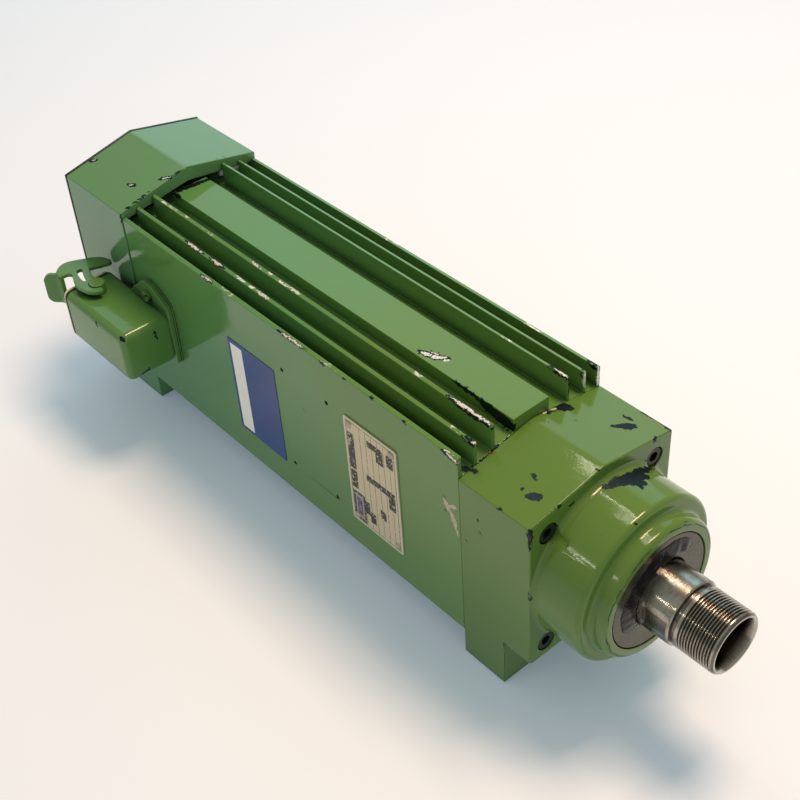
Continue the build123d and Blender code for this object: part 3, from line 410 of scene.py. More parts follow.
# Stator: stacked electrical sheet pressed into the housing, with copper bars and taped heads.
# Both are out of sight in the closed motor.
def lamination():
    sheets = Finish("lamination", {"Metallic": 0.85})
    sheet_thickness = 0.5 * mm
    stack = sheets.math("FRACT", sheets.math("DIVIDE", sheets.axes()[0], sheet_thickness))
    joints = sheets.band(stack, 0.85, 1.0)
    blued = sheets.blend(sheets.grain(60), (0.30, 0.32, 0.36), (0.44, 0.42, 0.39))
    sheets.wear("Base Color", sheets.blend(joints, blued, (0.05, 0.05, 0.05)))
    sheets.wear("Roughness", sheets.value_blend(sheets.grain(200), 0.32, 0.55))
    sheets.wear("Normal", sheets.relief(sheets.math("SUBTRACT", 1.0, joints), 0.08 * mm))
    return sheets.material


def varnished_copper():
    wire = Finish("varnished_copper", {"Metallic": 0.75, "Coat Weight": 0.6, "Coat Roughness": 0.12})
    strands = wire.add("TexWave", {"Scale": 260, "Distortion": 3.0, "Detail": 2, "Vector": wire.place},
                       wave_type="RINGS", rings_direction="X").outputs["Fac"]
    wire.wear("Base Color", wire.blend(strands, (0.16, 0.055, 0.02), (0.52, 0.23, 0.09)))
    wire.wear("Roughness", wire.value_blend(wire.grain(150), 0.28, 0.5))
    wire.wear("Normal", wire.relief(strands, 0.3 * mm))
    return wire.material


sheet_stack = lamination()
plain("stator_core", sheet_stack)
plain("stator_winding", varnished_copper())


# Rotor and shaft: one turned steel shaft carries the sheet pack with its cast aluminium cage.
# The nose in front is bare: fine turning rings, dried oil, thread valleys darkened by oil and painted shade,
# and a collet socket darkened by painted shade.
shaft_low, shaft_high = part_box("shaft")
shaft_height = (shaft_low.z + shaft_high.z) / 2


def turned_steel():
    thread_crest, thread_root, undercut = 15.88 * mm, 15.45 * mm, 15.0 * mm
    socket_mouth, socket_inside = 13.3 * mm, 12.5 * mm
    steel = Finish("turned_steel", {"Metallic": 1.0})
    radius = steel.off_axis(shaft_height)
    lengthwise = steel.stretched((1, 0.02, 0.02))
    rings = steel.grain(5200, 3, lengthwise, 0.6)
    broad = steel.grain(420, 3, lengthwise)
    stain = steel.band(steel.grain(130, 5, rough=0.65), 0.46, 0.68)
    metal = steel.blend(broad, (0.34, 0.32, 0.28), (0.50, 0.475, 0.42))
    metal = steel.blend(steel.math("MULTIPLY", stain, 0.65), metal, (0.15, 0.115, 0.078))
    # Oil and painted shade: the thread's valleys and the undercut are darkened to dark brown.
    valley_oil_and_shade = steel.math("MULTIPLY", steel.band(radius, thread_crest, thread_root),
                        steel.band(radius, undercut - 0.2 * mm, undercut))
    metal = steel.blend(steel.math("MULTIPLY", valley_oil_and_shade, 0.70), metal, (0.045, 0.034, 0.024))
    # Painted shade: the collet socket's bore goes near black inside the mouth.
    inside = steel.band(radius, socket_mouth, socket_inside)
    metal = steel.blend(steel.math("MULTIPLY", inside, 0.86), metal, (0.050, 0.036, 0.024))
    steel.wear("Base Color", metal)
    steel.wear("Roughness", steel.value_blend(stain, steel.value_blend(broad, 0.10, 0.17), 0.27))
    steel.wear("Normal", steel.relief(rings, 0.04 * mm))
    return steel.material


def cast_metal(name, light, dark, dull):
    cast = Finish(name, {"Metallic": 0.9})
    pores = cast.grain(700, 4)
    cast.wear("Base Color", cast.blend(pores, dark, light))
    cast.wear("Roughness", cast.value_blend(cast.grain(90), dull - 0.08, dull + 0.10))
    cast.wear("Normal", cast.relief(pores, 0.1 * mm))
    return cast.material


dressed("shaft", turned_steel())
plain("rotor_core", sheet_stack)
plain("rotor_cage", cast_metal("cast_aluminium", (0.74, 0.74, 0.75), (0.50, 0.50, 0.52), 0.42))


# Bearings: two side by side in the boss and one at the rear, with ground and polished steel
# rings and balls in moulded cages. All of them are behind the cover.
def ground_steel():
    ground = Finish("ground_steel", {"Metallic": 1.0})
    rings = ground.grain(6000, 2, ground.stretched((1, 0.02, 0.02)))
    ground.wear("Base Color", ground.blend(rings, (0.60, 0.61, 0.62), (0.72, 0.73, 0.74)))
    ground.wear("Roughness", ground.value_blend(ground.grain(80), 0.10, 0.20))
    return ground.material


def moulded(name, light, dark, dull, grain_scale=900):
    resin = Finish(name)
    texture = resin.grain(grain_scale, 3)
    resin.wear("Base Color", resin.blend(resin.grain(70, 4), dark, light))
    resin.wear("Roughness", resin.value_blend(texture, dull - 0.06, dull + 0.08))
    resin.wear("Normal", resin.relief(texture, 0.06 * mm))
    return resin.material


bearing_look = ground_steel()
cage_look = moulded("cage_resin", (0.46, 0.36, 0.21), (0.36, 0.27, 0.15), 0.42)
for bearing in ("front_bearing_a", "front_bearing_b", "rear_bearing"):
    for ring in ("outer_ring", "inner_ring", "balls"):
        plain(f"{bearing}_{ring}", bearing_look)
    plain(f"{bearing}_cage", cage_look)

# Front end shield: the iron casting with the boss and two feet, under the same enamel.
# Handling has knocked it off the gabled top, the upper corner and the boss's front edge.
def ring_crack(paint):
    """The paint's torn edge on the boss's front ring, a fine dark line that comes and goes."""
    crack_radius, crack_half, shake, ring_x = 36.1 * mm, 0.22 * mm, 2.8 * mm, 216 * mm
    shaken = paint.math("MULTIPLY_ADD", paint.grain(260, 4), shake, paint.off_axis(shaft_height))
    line = paint.math("COMPARE", shaken, crack_radius, crack_half)
    torn = paint.math("MULTIPLY", line, paint.band(paint.grain(90, 3), 0.42, 0.48))
    return paint.math("MULTIPLY", torn, paint.band(paint.axes()[0], ring_x, ring_x + 0.4 * mm))


shield_marks = {
    "primer_and_shadow": [
        ((138.6, 16.0, 123.9), (142.0, 19.4, 123.2), 3.2),
        ((139.2, 7.5, 125.4), (141.0, 13.0, 124.5), 0.9),
        ((161.8, 35.8, 120.5), (166.6, 36.6, 120.4), 1.0),
        ((165.0, 26.2, 122.2), (168.0, 29.8, 121.6), 1.5),
        ((167.6, 29.6, 121.6), (169.8, 32.8, 121.1), 2.5),
        ((164.8, 45.4, 118.7), (168.8, 45.6, 118.5), 1.1),
        ((178.4, 45.6, 118.4), (182.6, 45.6, 118.3), 1.3), ((182.6, 45.8, 118), (182.6, 45.8, 113), 0.9),
        ((182.0, 34.6, 120.6), (182.8, 33.4, 119.4), 1.1),
        ((151.4, 15.1, 124.2), (151.9, 15.2, 124.1), 0.5), ((144.8, 3.6, 126.2), (145.0, 3.7, 126.2), 0.4),
        ((139.5, -2.8, 126.4), (139.7, -2.8, 126.4), 0.4),
        ((162.2, -23.3, 122.7), (164.2, -24.1, 122.5), 1.1),
        ((164.1, -31.6, 121.2), (164.4, -31.5, 121.2), 0.9),
        ((169.6, -32.5, 121.1), (172.6, -30.9, 121.4), 2.1),
        ((139.6, -38.6, 119.9), (141.2, -38.0, 120.0), 1.4),
        ((162.8, -45.8, 118.4), (165.6, -45.8, 118.3), 0.8),
        ((182.7, -4.4, 126), (182.9, -3.6, 125.9), 0.8),
        ((182.9, -29.2, 121.0), (182.9, -27.4, 121.2), 0.8),
        ((182.9, -21.2, 117.2), (182.9, -19.4, 117.5), 0.9),
        ((182.6, -45.2, 118.4), (182.6, -45.6, 112), 1.5),
        ((182.6, -45.8, 112.5), (182.6, -45.8, 106.5), 0.8),
        ((186.6, -2.6, 118.3), (188.2, 3.0, 118.2), 1.9), ((187.6, 3.0, 118.2), (190.4, 9.0, 117.5), 3.2),
        ((188.6, 7.0, 117.6), (194.6, 11.6, 117.0), 3.2),
        ((188.6, 10.0, 117.2), (191.2, 17.0, 115.0), 3.4),
        ((187.6, 16.0, 115.6), (187.0, 24.0, 111.6), 2.3), ((186.6, 23.5, 112), (185.4, 30.0, 107), 1.4),
        ((195.0, 9.4, 117.2), (197.4, 9.0, 117.4), 0.9), ((209.4, -8.8, 117.3), (211.0, -7.6, 117.3), 1.1),
        ((218.2, 13.0, 108.6), (218.0, 17.5, 106.9), 1.0), ((149.7, -46, 102.0), (150.1, -46, 101.2), 0.6),
        ((151.5, -46, 94.0), (152.3, -46, 93.2), 0.6), ((141.8, -46, 82.4), (142.1, -46, 81.6), 0.5),
        ((138.1, -40, 119.6), (138.1, -12, 124.6), 0.6), ((182.8, -45.6, 80), (182.8, -45.6, 74), 0.7)],
    "rust": [
        ((168.4, 45.7, 118.4), (179.0, 45.7, 118.4), 0.8),
        ((182.6, -45.5, 115.6), (182.6, -45.5, 113.8), 0.6),
        ((138.6, -27, 122.1), (139.2, -24.6, 122.6), 0.7)],
    "filler": [
        ((138.9, 12.6, 124.4), (139.4, 13.8, 124.3), 0.8), ((138.8, 7.0, 125.5), (139.0, 8.4, 125.3), 0.7)]}
# The shield's greens are darker and more olive than the body's: partly its own paint, partly painted shade.
shield_greens_olive_shaded = ((0.088, 0.206, 0.044), (0.100, 0.200, 0.034))
shield_look = enamel("green_enamel_shield", shield_marks, {"primer_and_shadow": ring_crack}, shield_greens_olive_shaded)


def boss_flare_ends(middle):
    """Where the boss's flare runs out into the flange's sides and underside, too flat to round."""
    flange_front, flange_side, flange_underside, reach = 181, 45, 29, 16
    beside = abs(middle.y) > flange_side and abs(middle.z - shaft_height / mm) < reach
    below = middle.z < flange_underside and abs(middle.y) < reach
    return middle.x > flange_front and (beside or below)


dressed("front_end_shield", shield_look, 0.45 * mm, stays_sharp=boss_flare_ends)


def black_oxide():
    black = Finish("black_oxide", {"IOR": 1.4})
    rub = black.band(black.grain(500, 4), 0.52, 0.68)
    black.wear("Base Color", black.blend(rub, (0.008, 0.014, 0.010), (0.022, 0.040, 0.020)))
    black.wear("Roughness", black.value_blend(rub, 0.42, 0.60))
    return black.material


screw_black = black_oxide()
for screws in ("front_shield_screws", "rear_shield_screws", "hood_screws", "fan_set_screw"):
    dressed(screws, screw_black, 0.18 * mm)


# Bearing cover: a blackened steel ring in the boss, under a film of old oil, and the
# black grease that the running shaft has thrown out and piled up around the neck.
def oily_steel():
    cover = Finish("oily_steel", {"Metallic": 1.0})
    film = cover.band(cover.grain(120, 5, rough=0.62), 0.38, 0.66)
    tone = cover.blend(film, (0.062, 0.061, 0.042), (0.112, 0.110, 0.082))
    # Painted shade: the ring goes near black where ambient occlusion finds its crevices and the boss close
    # round it.
    edge = cover.add("AmbientOcclusion", {"Distance": 0.0022}, samples=6, only_local=False).outputs["AO"]
    cover.wear("Base Color", cover.blend(cover.band(edge, 0.90, 0.55), tone, (0.006, 0.007, 0.005)))
    cover.wear("Roughness", cover.value_blend(film, 0.24, 0.42))
    cover.wear("Normal", cover.relief(cover.grain(700, 4), 0.05 * mm))
    return cover.material


dressed("bearing_cover", oily_steel(), 0.15 * mm)


def grease_look():
    grease = Finish("black_grease", {"IOR": 1.30})
    dirt = grease.band(grease.grain(300, 5), 0.52, 0.70)
    grease.wear("Base Color", grease.blend(dirt, (0.003, 0.004, 0.005), (0.016, 0.015, 0.013)))
    grease.wear("Roughness", grease.value_blend(dirt, 0.12, 0.34))
    grease.wear("Normal", grease.relief(grease.grain(500, 4), 0.22 * mm))
    return grease.material


cover_face_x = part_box("bearing_cover")[1].x
grease_form = bmesh.new()


def grease_corner(rise, radius, angle):
    """A corner this far off the cover's face and off the shaft's axis."""
    place = (cover_face_x + rise, radius * cos(angle), shaft_height + radius * sin(angle))
    return grease_form.verts.new(place)


# The band's near and far edge in mm off the axis, at angles in degrees round it.
grease_edges = [(34, 23.0, 27.6), (60, 20.6, 28.4), (90, 17.2, 27.2), (120, 17.2, 24.4), (150, 17.2, 24.8),
                (175, 17.2, 25.6), (200, 17.2, 25.2), (231, 17.2, 21.5)]
grease_steps, grease_rings = 260, 9
grease_height, grease_swell, grease_lumps, grease_sunk = 1.3 * mm, 0.5 * mm, 0.30 * mm, 0.05 * mm
rows = []
for step in range(grease_steps + 1):
    share = step / grease_steps
    turn = grease_edges[0][0] + share * (grease_edges[-1][0] - grease_edges[0][0])
    spans = [span for span in zip(grease_edges, grease_edges[1:]) if span[0][0] <= turn + 0.001]
    before, after = spans[-1]
    part = (turn - before[0]) / (after[0] - before[0])
    part = part * part * (3 - 2 * part)
    angle = radians(turn)
    way = Vector((cos(angle), sin(angle), 0))
    ends = min(1.0, share * 16, (1 - share) * 12)
    taper = max(ends, 0.04) ** 0.5
    near = (before[1] + part * (after[1] - before[1])) * mm
    far = (before[2] + part * (after[2] - before[2]) + 0.8 * noise.noise(way * 9.9)) * mm
    middle = (near + far) / 2
    inner_edge = middle + (near - middle) * taper
    reach = (far - near) * taper
    height = (grease_height + grease_swell * noise.noise(way * 4.5 + Vector((7, 0, 0)))) * taper
    row = []
    for ring in range(grease_rings + 1):
        out = ring / grease_rings
        lump = grease_lumps * noise.noise(way * 7 + Vector((0, 0, out * 3)))
        rise = height * (1 - out ** 2) ** 0.8 * (0.55 + 0.45 * (1 - out)) + lump * (1 - out) * ends
        row.append(grease_corner(max(rise, 0) - 0.02 * mm * out, inner_edge + reach * out, angle))
    row.append(grease_corner(-grease_sunk, inner_edge + reach, angle))
    row.append(grease_corner(-grease_sunk, inner_edge + 0.7 * mm, angle))
    rows.append(row)
for row, following in zip(rows, rows[1:]):
    for place in range(len(row)):
        beside = (place + 1) % len(row)
        grease_form.faces.new((row[place], row[beside], following[beside], following[place]))
grease_form.faces.new(rows[0])
grease_form.faces.new(rows[-1])
bmesh.ops.recalc_face_normals(grease_form, faces=grease_form.faces)
grease_mesh = bpy.data.meshes.new("neck_grease")
grease_form.to_mesh(grease_mesh)
grease_form.free()
grease_mesh.polygons.foreach_set("use_smooth", [True] * len(grease_mesh.polygons))
grease_mesh.materials.append(grease_look())
neck_grease = bpy.data.objects.new("neck_grease", grease_mesh)
bpy.context.scene.collection.objects.link(neck_grease)
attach(neck_grease, "stator_body")

# Rear end: the shield is an iron casting with two feet, under the same enamel. The disc spring
# and circlip are blued spring steel and the fan is black plastic, all inside the hood.
dressed("rear_end_shield", enamel("green_enamel_rear"), 0.3 * mm)
blued = cast_metal("blued_spring_steel", (0.16, 0.19, 0.26), (0.07, 0.08, 0.11), 0.35)
plain("disc_spring", blued)
plain("shaft_circlip", blued)
dressed("fan", moulded("fan_plastic", (0.035, 0.035, 0.036), (0.02, 0.02, 0.02), 0.45), 0.3 * mm)

# Fan hood: a folded steel sheet cap screwed over the rear, painted with the body. The guard
# behind it is black enamelled sheet, and its edge shows as a thin black line all round.
hood_marks = {
    "primer_and_shadow": [
        ((-195.4, -29.6, 137.8), (-193.4, -28.2, 138.1), 1.7),
        ((-155.6, -28.8, 138), (-152.4, -27.6, 138.2), 1.8),
        ((-139.2, -41.5, 135.3), (-138.6, -40, 135.6), 0.9),
        ((-139.4, -36.2, 136.4), (-138.8, -35, 136.6), 0.7),
        ((-139.2, -33.0, 137), (-138.6, -31.8, 137.3), 0.8),
        ((-139.4, -30.4, 137.6), (-138.8, -28.8, 138), 0.8),
        ((-139.6, -26.2, 138.6), (-139.0, -25.6, 138.7), 0.5),
        ((-142.6, -15, 141), (-138.6, -10.2, 142), 1.5), ((-138.6, -8.5, 142.3), (-138.4, -3, 143.5), 0.7),
        ((-139.6, 21.3, 139.6), (-139.2, 22, 139.4), 0.6),
        ((-139.8, 26.4, 138.5), (-139.4, 27.1, 138.3), 0.6),
        ((-138.4, -46.4, 134), (-138.4, -46.6, 128), 0.7)],
    "metal": [
        ((-194.6, -29.2, 137.9), (-194.0, -28.6, 138.0), 0.8),
        ((-154.6, -28.6, 138), (-153.6, -28.0, 138.1), 0.8),
        ((-141.6, -14, 141.2), (-139.6, -11.5, 141.7), 0.7)]}
# The hood's greens are bluer than the body's: a painted cool reflection on its top.
hood_greens_cool_reflection = ((0.102, 0.256, 0.108), (0.114, 0.252, 0.096))
dressed("fan_hood", enamel("green_enamel_hood", hood_marks, None, hood_greens_cool_reflection), 0.5 * mm)


def black_enamel():
    black = Finish("black_enamel", {"Coat Weight": 0.3, "Coat Roughness": 0.1})
    wear = black.band(black.grain(300, 4), 0.60, 0.68)
    black.wear("Base Color", black.blend(wear, (0.012, 0.012, 0.012), (0.10, 0.095, 0.09)))
    black.wear("Roughness", black.value_blend(black.grain(90), 0.30, 0.45))
    black.wear("Normal", black.relief(black.grain(400), 0.05 * mm))
    return black.material


dressed("rear_guard", black_enamel(), 0.3 * mm)
zinc = cast_metal("zinc_plate", (0.66, 0.65, 0.60), (0.46, 0.46, 0.44), 0.32)
dressed("guard_screws", zinc, 0.2 * mm)

# Connector: a die-cast box on a flange with two lugs, painted in place with its screws, its
# lever and the studs that the lever turns on.
connector_marks = {
    "primer_and_shadow": [
        ((-101.5, -81.0, 86.0), (-98.8, -79.8, 84.6), 1.7),
        ((-99.0, -60.6, 80.6), (-99.0, -59.8, 75.4), 0.9),
        ((-126.8, -81.5, 84.2), (-125.6, -81.5, 81.6), 1.1),
        ((-99.0, -73.6, 56.6), (-99.0, -68.0, 58.4), 0.6)],
    "metal": [
        ((-101.2, -81.2, 85.8), (-99.6, -80.6, 85.0), 0.7)]}
connector_greens = ((0.090, 0.228, 0.056), (0.110, 0.226, 0.050))
connector_green = enamel("green_enamel_connector", connector_marks, None, connector_greens)
dressed("connector_housing", connector_green, 0.7 * mm, 3)
for node in ("base_seal", "connector_screws", "lever_pivots"):
    dressed(node, connector_green, 0.35 * mm)
rubber = moulded("black_rubber", (0.022, 0.022, 0.022), (0.010, 0.010, 0.010), 0.62, 1500)
dressed("mouth_seal", rubber, 0.2 * mm)
dressed("contact_insert", moulded("cream_plastic", (0.74, 0.67, 0.47), (0.62, 0.55, 0.37), 0.38), 0.2 * mm)
brass = cast_metal("contact_brass", (0.84, 0.66, 0.32), (0.62, 0.47, 0.22), 0.25)
for node in ("contact_pins", "earth_contact"):
    plain(node, brass)
dressed("insert_screws", zinc, 0.1 * mm)
plain("motor_leads", moulded("lead_jacket", (0.05, 0.05, 0.05), (0.03, 0.03, 0.03), 0.5))


# Locking lever: a hook stamped from 2.5 mm steel sheet, with a crescent slot, an open eye round
# its stud and a thumb tab bent down in front of the mouth. It is painted with the connector.
lever_low, lever_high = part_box("locking_lever")
stud_low, stud_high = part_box("lever_pivots")
stud_head_r, eye_r = 4.6, 4.85
stud_x, stud_y = stud_high.x / mm - stud_head_r, (stud_low.y + stud_high.y) / 2 / mm
# The lever's outline seen from above, in mm, in runs from the hook's tip round to its throat.
hook = [(-160.4, -49.0), (-160.9, -47.8), (-162.3, -47.5), (-165.8, -48.3), (-169.0, -50.0), (-172.2, -53.5),
        (-174.3, -57.3), (-176.7, -61.7), (-178.6, -65.8), (-179.2, -69.8), (-178.0, -73.4), (-175.4, -76.4)]
tab_root = [(-173.7, -78.2), (-168.2, -78.2)]
arm = [(-168.4, -75.6), (-167.9, -73.0), (-166.0, -71.9), (-163.6, -72.6), (-160.6, -73.9), (-157.0, -75.2),
       (-153.0, -75.9), (-148.6, -75.2), (-144.0, -73.9), (-140.7, -71.4), (-139.1, -68.4)]
eye_end = [(-139.2, -66.4), (-142.7, -66.2)]
eye_turns = [radians(turn) for turn in range(-15, -236, -20)]
eye_rim = [(stud_x + eye_r * cos(turn), stud_y + eye_r * sin(turn)) for turn in eye_turns]
inner = [(-152.4, -63.1), (-155.6, -63.5), (-159.2, -62.9), (-162.0, -62.0)]
throat = [(-164.1, -60.7)]
underside = [(-163.6, -58.8), (-162.4, -56.2), (-161.3, -52.9)]
crescent = [(-167.2, -66.2), (-166.4, -68.0), (-164.6, -68.8), (-161.2, -69.7), (-157.6, -70.3),
            (-154.8, -70.1), (-154.0, -69.2), (-154.6, -68.3), (-157.5, -67.8), (-161.4, -66.8),
            (-164.6, -65.4), (-166.4, -65.1)]


def cut_line(curve, runs):
    """A closed outline of runs that are smooth, or sharp at each of their points."""
    places = [(point, sharp) for run, sharp in runs for point in run]
    spline = curve.splines.new("BEZIER")
    spline.bezier_points.add(len(places) - 1)
    for knot, (point, sharp) in zip(spline.bezier_points, places):
        knot.co = (point[0] * mm, point[1] * mm, 0)
        knot.handle_left_type = knot.handle_right_type = "VECTOR" if sharp else "AUTO"
    spline.use_cyclic_u = True
    spline.resolution_u = 7


def settled_mesh(data, *finishing):
    """The mesh of a curve or mesh with its modifiers applied; the helper object is removed."""
    helper = bpy.data.objects.new("lever_blank", data)
    bpy.context.scene.collection.objects.link(helper)
    for kind, settings in finishing:
        step = helper.modifiers.new(kind.lower(), kind)
        for setting, value in settings.items():
            setattr(step, setting, value)
    view = bpy.context.evaluated_depsgraph_get()
    mesh = bpy.data.meshes.new_from_object(helper.evaluated_get(view))
    bpy.data.objects.remove(helper)
    return mesh


lever_sheet = 2.5 * mm
lever_edge = 0.35 * mm
blank = bpy.data.curves.new("lever_blank", "CURVE")
blank.dimensions = "2D"
blank.fill_mode = "BOTH"
blank.extrude = lever_sheet / 2 - lever_edge
blank.bevel_depth = lever_edge
blank.bevel_resolution = 2
blank.offset = -lever_edge
cut_line(blank, [(hook, False), (tab_root, True), (arm, False), (eye_end, True), (eye_rim, False),
                 (inner, False), (throat, True), (underside, False)])
cut_line(blank, [(crescent, False)])
plate_mesh = settled_mesh(blank)
plate_mesh.transform(Matrix.Translation((0, 0, lever_high.z - lever_sheet / 2)))

# The tab's middle line from above: straight out of the arm, round a bend, then out to its tip.
tab_start, bend_start = Vector((-168.9, -76.95)), Vector((-171.0, -76.95))
bend_corner, bend_end, tab_tip = Vector((-173.1, -76.95)), Vector((-174.6, -78.45)), Vector((-179.5, -83.35))
bend_steps, tip_steps, tab_levels = 6, 12, 8
tab_line = [tab_start, tab_start + Vector((-1.1, 0))]
for step in range(bend_steps + 1):
    share = step / bend_steps
    tab_line.append(bend_start.lerp(bend_corner, share).lerp(bend_corner.lerp(bend_end, share), share))
for step in range(1, tip_steps + 1):
    tab_line.append(bend_end.lerp(tab_tip, 1 - (1 - step / tip_steps) ** 1.6))
tab_corner_r = 4.6
tab_below_top = 0.8
tab_form = bmesh.new()
tab_rows = []
for point in tab_line:
    past = max(0.0, tab_corner_r - (tab_tip - point).length) if point.y < bend_end.y else 0.0
    drop = tab_corner_r - (tab_corner_r ** 2 - min(past, tab_corner_r * 0.995) ** 2) ** 0.5
    top = Vector((*point, lever_high.z / mm - tab_below_top - drop)) * mm
    bottom = Vector((*point, lever_low.z / mm + drop)) * mm
    places = [top.lerp(bottom, level / tab_levels) for level in range(tab_levels + 1)]
    tab_rows.append([tab_form.verts.new(place) for place in places])
for row, following in zip(tab_rows, tab_rows[1:]):
    for level in range(tab_levels):
        tab_form.faces.new((row[level], row[level + 1], following[level + 1], following[level]))
tab_data = bpy.data.meshes.new("lever_tab")
tab_form.to_mesh(tab_data)
tab_form.free()
tab_mesh = settled_mesh(tab_data, ("SOLIDIFY", {"thickness": lever_sheet, "offset": 0.0}),
                        ("BEVEL", {"width": lever_edge, "segments": 2, "limit_method": "ANGLE",
                                   "angle_limit": radians(50)}))
lever_form = bmesh.new()
lever_form.from_mesh(plate_mesh)
lever_form.from_mesh(tab_mesh)
bmesh.ops.recalc_face_normals(lever_form, faces=lever_form.faces)
lever_mesh = bpy.data.meshes.new("lever_hook")
lever_form.to_mesh(lever_mesh)
lever_form.free()
lever_mesh.polygons.foreach_set("use_smooth", [True] * len(lever_mesh.polygons))
lever_mesh.set_sharp_from_angle(angle=radians(32))
lever_mesh.materials.clear()
lever_mesh.materials.append(connector_green)
lever_hook = bpy.data.objects.new("lever_hook", lever_mesh)
bpy.context.scene.collection.objects.link(lever_hook)
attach(lever_hook, body_of(frame["nodes"]["locking_lever"])[0])
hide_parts("locking_lever")


# Rating plate: brushed aluminium sheet held by four rivets, printed with an empty ruled table:
# a frame, long rules, dark heading cells and one boxed field.
def printed_plate():
    low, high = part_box("rating_plate")
    sheet = Finish("printed_plate", {"Metallic": 0.25})
    x, y, z = sheet.axes()
    across = sheet.add("MapRange", {"Value": x, "From Min": low.x, "From Max": high.x}).outputs[0]
    down = sheet.add("MapRange", {"Value": z, "From Min": high.z, "From Max": low.z}).outputs[0]
    heading_cells = [
        ((0.055, 0.18), (0.13, 0.47)), ((0.055, 0.18), (0.485, 0.66)), ((0.055, 0.29), (0.69, 0.97)),
        ((0.44, 0.60), (0.085, 0.145)), ((0.60, 0.74), (0.085, 0.235)), ((0.80, 0.93), (0.085, 0.20)),
        ((0.37, 0.92), (0.43, 0.49)), ((0.79, 0.92), (0.49, 0.61)), ((0.28, 0.38), (0.72, 0.85)),
        ((0.38, 0.49), (0.80, 0.91)), ((0.60, 0.71), (0.69, 0.78))]
    ink = None
    for u, v in heading_cells:
        cell = sheet.patch(across, down, u, v)
        ink = sheet.math("MAXIMUM", ink, cell) if ink else cell
    field = sheet.patch(across, down, (0.095, 0.25), (0.715, 0.945))
    block = sheet.patch(across, down, (0.125, 0.22), (0.745, 0.915))
    spaced = sheet.math("FRACT", sheet.math("MULTIPLY", sheet.math("SUBTRACT", across, 0.30), 1 / 0.112))
    rules = sheet.math("MULTIPLY", sheet.math("LESS_THAN", spaced, 0.085),
                       sheet.patch(across, down, (0.295, 0.95), (0.035, 0.965)))
    frame_line = sheet.math("SUBTRACT", sheet.patch(across, down, (0.040, 0.960), (0.022, 0.978)),
                            sheet.patch(across, down, (0.052, 0.948), (0.029, 0.971)))
    brush = sheet.grain(900, 3, sheet.stretched((1, 1, 0.03)))
    aged = sheet.band(sheet.grain(35, 4), 0.35, 0.70)
    metal = sheet.blend(brush, (0.54, 0.46, 0.30), (0.70, 0.61, 0.42))
    metal = sheet.blend(aged, metal, (0.60, 0.52, 0.35))
    border = sheet.math("SUBTRACT", 1.0, sheet.patch(across, down, (0.038, 0.962), (0.020, 0.980)))
    metal = sheet.blend(border, metal, (0.60, 0.58, 0.42))
    worn = sheet.band(sheet.grain(800, 4), 0.36, 0.44)
    thin_lines = sheet.math("MULTIPLY", sheet.math("MAXIMUM", rules, frame_line), 0.85)
    marked = sheet.math("MAXIMUM", thin_lines, ink)
    tone = sheet.blend(sheet.math("MULTIPLY", marked, worn), metal, (0.030, 0.024, 0.016))
    tone = sheet.blend(field, tone, (0.34, 0.32, 0.33))
    tone = sheet.blend(sheet.math("MULTIPLY", block, worn), tone, (0.06, 0.06, 0.11))
    sheet.wear("Base Color", tone)
    sheet.wear("Roughness", sheet.value_blend(brush, 0.32, 0.46))
    sheet.wear("Normal", sheet.relief(brush, 0.03 * mm))
    return sheet.material


dressed("rating_plate", printed_plate(), 0.12 * mm)

# The plate's four blind rivets: each an aluminium dome pressed flat against it, with the stub
# of the pulled mandrel in the middle.
rivet_low, rivet_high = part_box("plate_rivets")
plate_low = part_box("rating_plate")[0]
rivet_head_r = 2.2 * mm
rivet_head_height = plate_low.y - rivet_low.y
rivet_dots = bpy.data.meshes.new("rivet_dots")
rivet_columns = (rivet_low.x + rivet_head_r, rivet_high.x - rivet_head_r)
rivet_rows = (rivet_low.z + rivet_head_r, rivet_high.z - rivet_head_r)
rivet_dots.from_pydata([(x, plate_low.y, z) for x in rivet_columns for z in rivet_rows], [], [])
rivet_heads = bpy.data.objects.new("rivet_heads", rivet_dots)
bpy.context.scene.collection.objects.link(rivet_heads)

rivet_tree = bpy.data.node_groups.new("rivet_heads", "GeometryNodeTree")
rivet_inputs = {}
for name, kind in (("Dots", "NodeSocketGeometry"), ("Head radius", "NodeSocketFloat"),
                   ("Head height", "NodeSocketFloat"), ("Stub radius", "NodeSocketFloat"),
                   ("Finish", "NodeSocketMaterial")):
    opened = rivet_tree.interface.new_socket(name=name, in_out="INPUT", socket_type=kind)
    rivet_inputs[name] = opened.identifier
rivet_tree.interface.new_socket(name="Heads", in_out="OUTPUT", socket_type="NodeSocketGeometry")
rivet_in = rivet_tree.nodes.new("NodeGroupInput").outputs
rivet_out = rivet_tree.nodes.new("NodeGroupOutput").inputs


def rivet_step(kind, **inputs):
    """Adds a geometry node; inputs are given by their sockets' names, with _ for a space."""
    made = rivet_tree.nodes.new(kind)
    for socket, value in inputs.items():
        socket = socket.replace("_", " ")
        if isinstance(value, bpy.types.NodeSocket):
            rivet_tree.links.new(value, made.inputs[socket])
        else:
            made.inputs[socket].default_value = value
    return made.outputs[0]


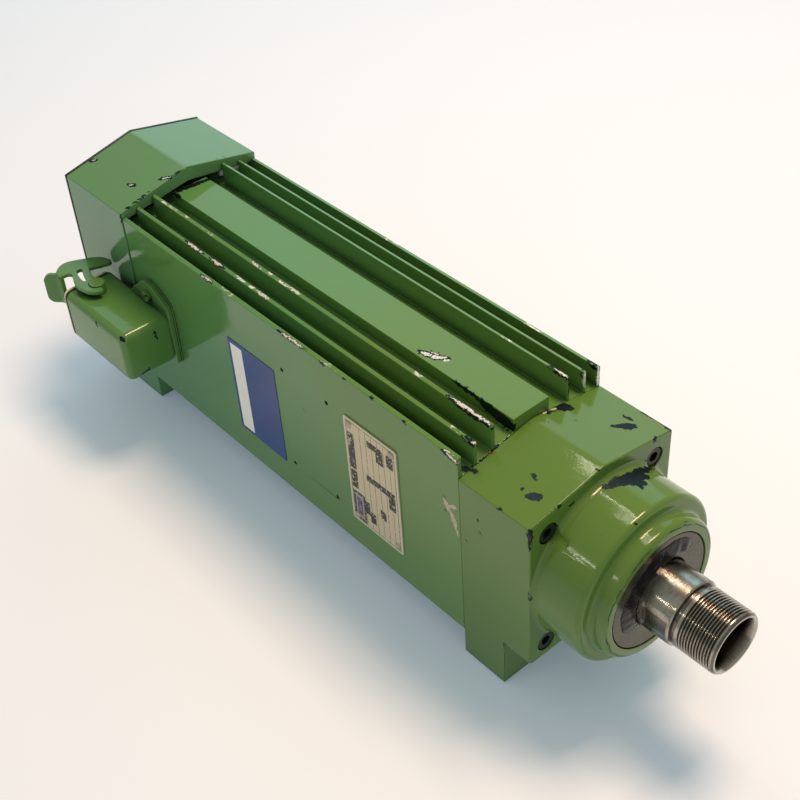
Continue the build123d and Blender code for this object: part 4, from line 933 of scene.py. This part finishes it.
ball = rivet_step("GeometryNodeMeshUVSphere", Segments=32, Rings=16, Radius=1.0)
head_size = rivet_step("ShaderNodeCombineXYZ", X=rivet_in["Head radius"], Y=rivet_in["Head height"],
                       Z=rivet_in["Head radius"])
dome = rivet_step("GeometryNodeTransform", Geometry=ball, Scale=head_size)
stub_size = rivet_step("ShaderNodeCombineXYZ", X=rivet_in["Stub radius"], Y=rivet_in["Head height"],
                       Z=rivet_in["Stub radius"])
stub = rivet_step("GeometryNodeTransform", Geometry=ball, Scale=stub_size)
both = rivet_tree.nodes.new("GeometryNodeJoinGeometry")
rivet_tree.links.new(dome, both.inputs[0])
rivet_tree.links.new(stub, both.inputs[0])
heads = rivet_step("GeometryNodeInstanceOnPoints", Points=rivet_in["Dots"], Instance=both.outputs[0])
heads = rivet_step("GeometryNodeRealizeInstances", Geometry=heads)
heads = rivet_step("GeometryNodeSetShadeSmooth", Geometry=heads)
heads = rivet_step("GeometryNodeSetMaterial", Geometry=heads, Material=rivet_in["Finish"])
rivet_tree.links.new(heads, rivet_out["Heads"])

rivet_look = cast_metal("rivet_aluminium", (0.50, 0.46, 0.35), (0.34, 0.30, 0.22), 0.40)
riveting = rivet_heads.modifiers.new("riveting", "NODES")
riveting.node_group = rivet_tree
riveting[rivet_inputs["Head radius"]] = rivet_head_r
riveting[rivet_inputs["Head height"]] = rivet_head_height
riveting[rivet_inputs["Stub radius"]] = 0.7 * mm
riveting[rivet_inputs["Finish"]] = rivet_look
settled = bpy.data.meshes.new_from_object(rivet_heads.evaluated_get(bpy.context.evaluated_depsgraph_get()))
rivet_heads.modifiers.clear()
rivet_heads.data = settled
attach(rivet_heads, body_of(frame["nodes"]["plate_rivets"])[0])
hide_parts("plate_rivets")


# Side label: a glossy foil glued to the housing, printed blue with one white field along its
# rear edge.
def foil():
    low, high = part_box("side_label")
    print_film = Finish("label_foil", {"IOR": 1.45})
    x, y, z = print_film.axes()
    across = print_film.add("MapRange", {"Value": x, "From Min": low.x, "From Max": high.x}).outputs[0]
    down = print_film.add("MapRange", {"Value": z, "From Min": high.z, "From Max": low.z}).outputs[0]
    white = print_film.band(across, 0.050, 0.054)
    for value, low_end, high_end in ((across, 0.304, 0.300), (down, 0.044, 0.047), (down, 0.968, 0.965)):
        white = print_film.math("MULTIPLY", white, print_film.band(value, low_end, high_end))
    faded = print_film.band(print_film.grain(40, 4), 0.30, 0.72)
    blue = print_film.blend(faded, (0.002, 0.034, 0.200), (0.006, 0.046, 0.225))
    paper = print_film.blend(faded, (0.95, 0.96, 0.94), (0.90, 0.89, 0.85))
    print_film.wear("Base Color", print_film.blend(white, blue, paper))
    print_film.wear("Roughness", print_film.value_blend(faded, 0.14, 0.26))
    print_film.wear("Normal", print_film.relief(print_film.grain(220), 0.06 * mm))
    return print_film.material


dressed("side_label", foil(), 0.06 * mm)
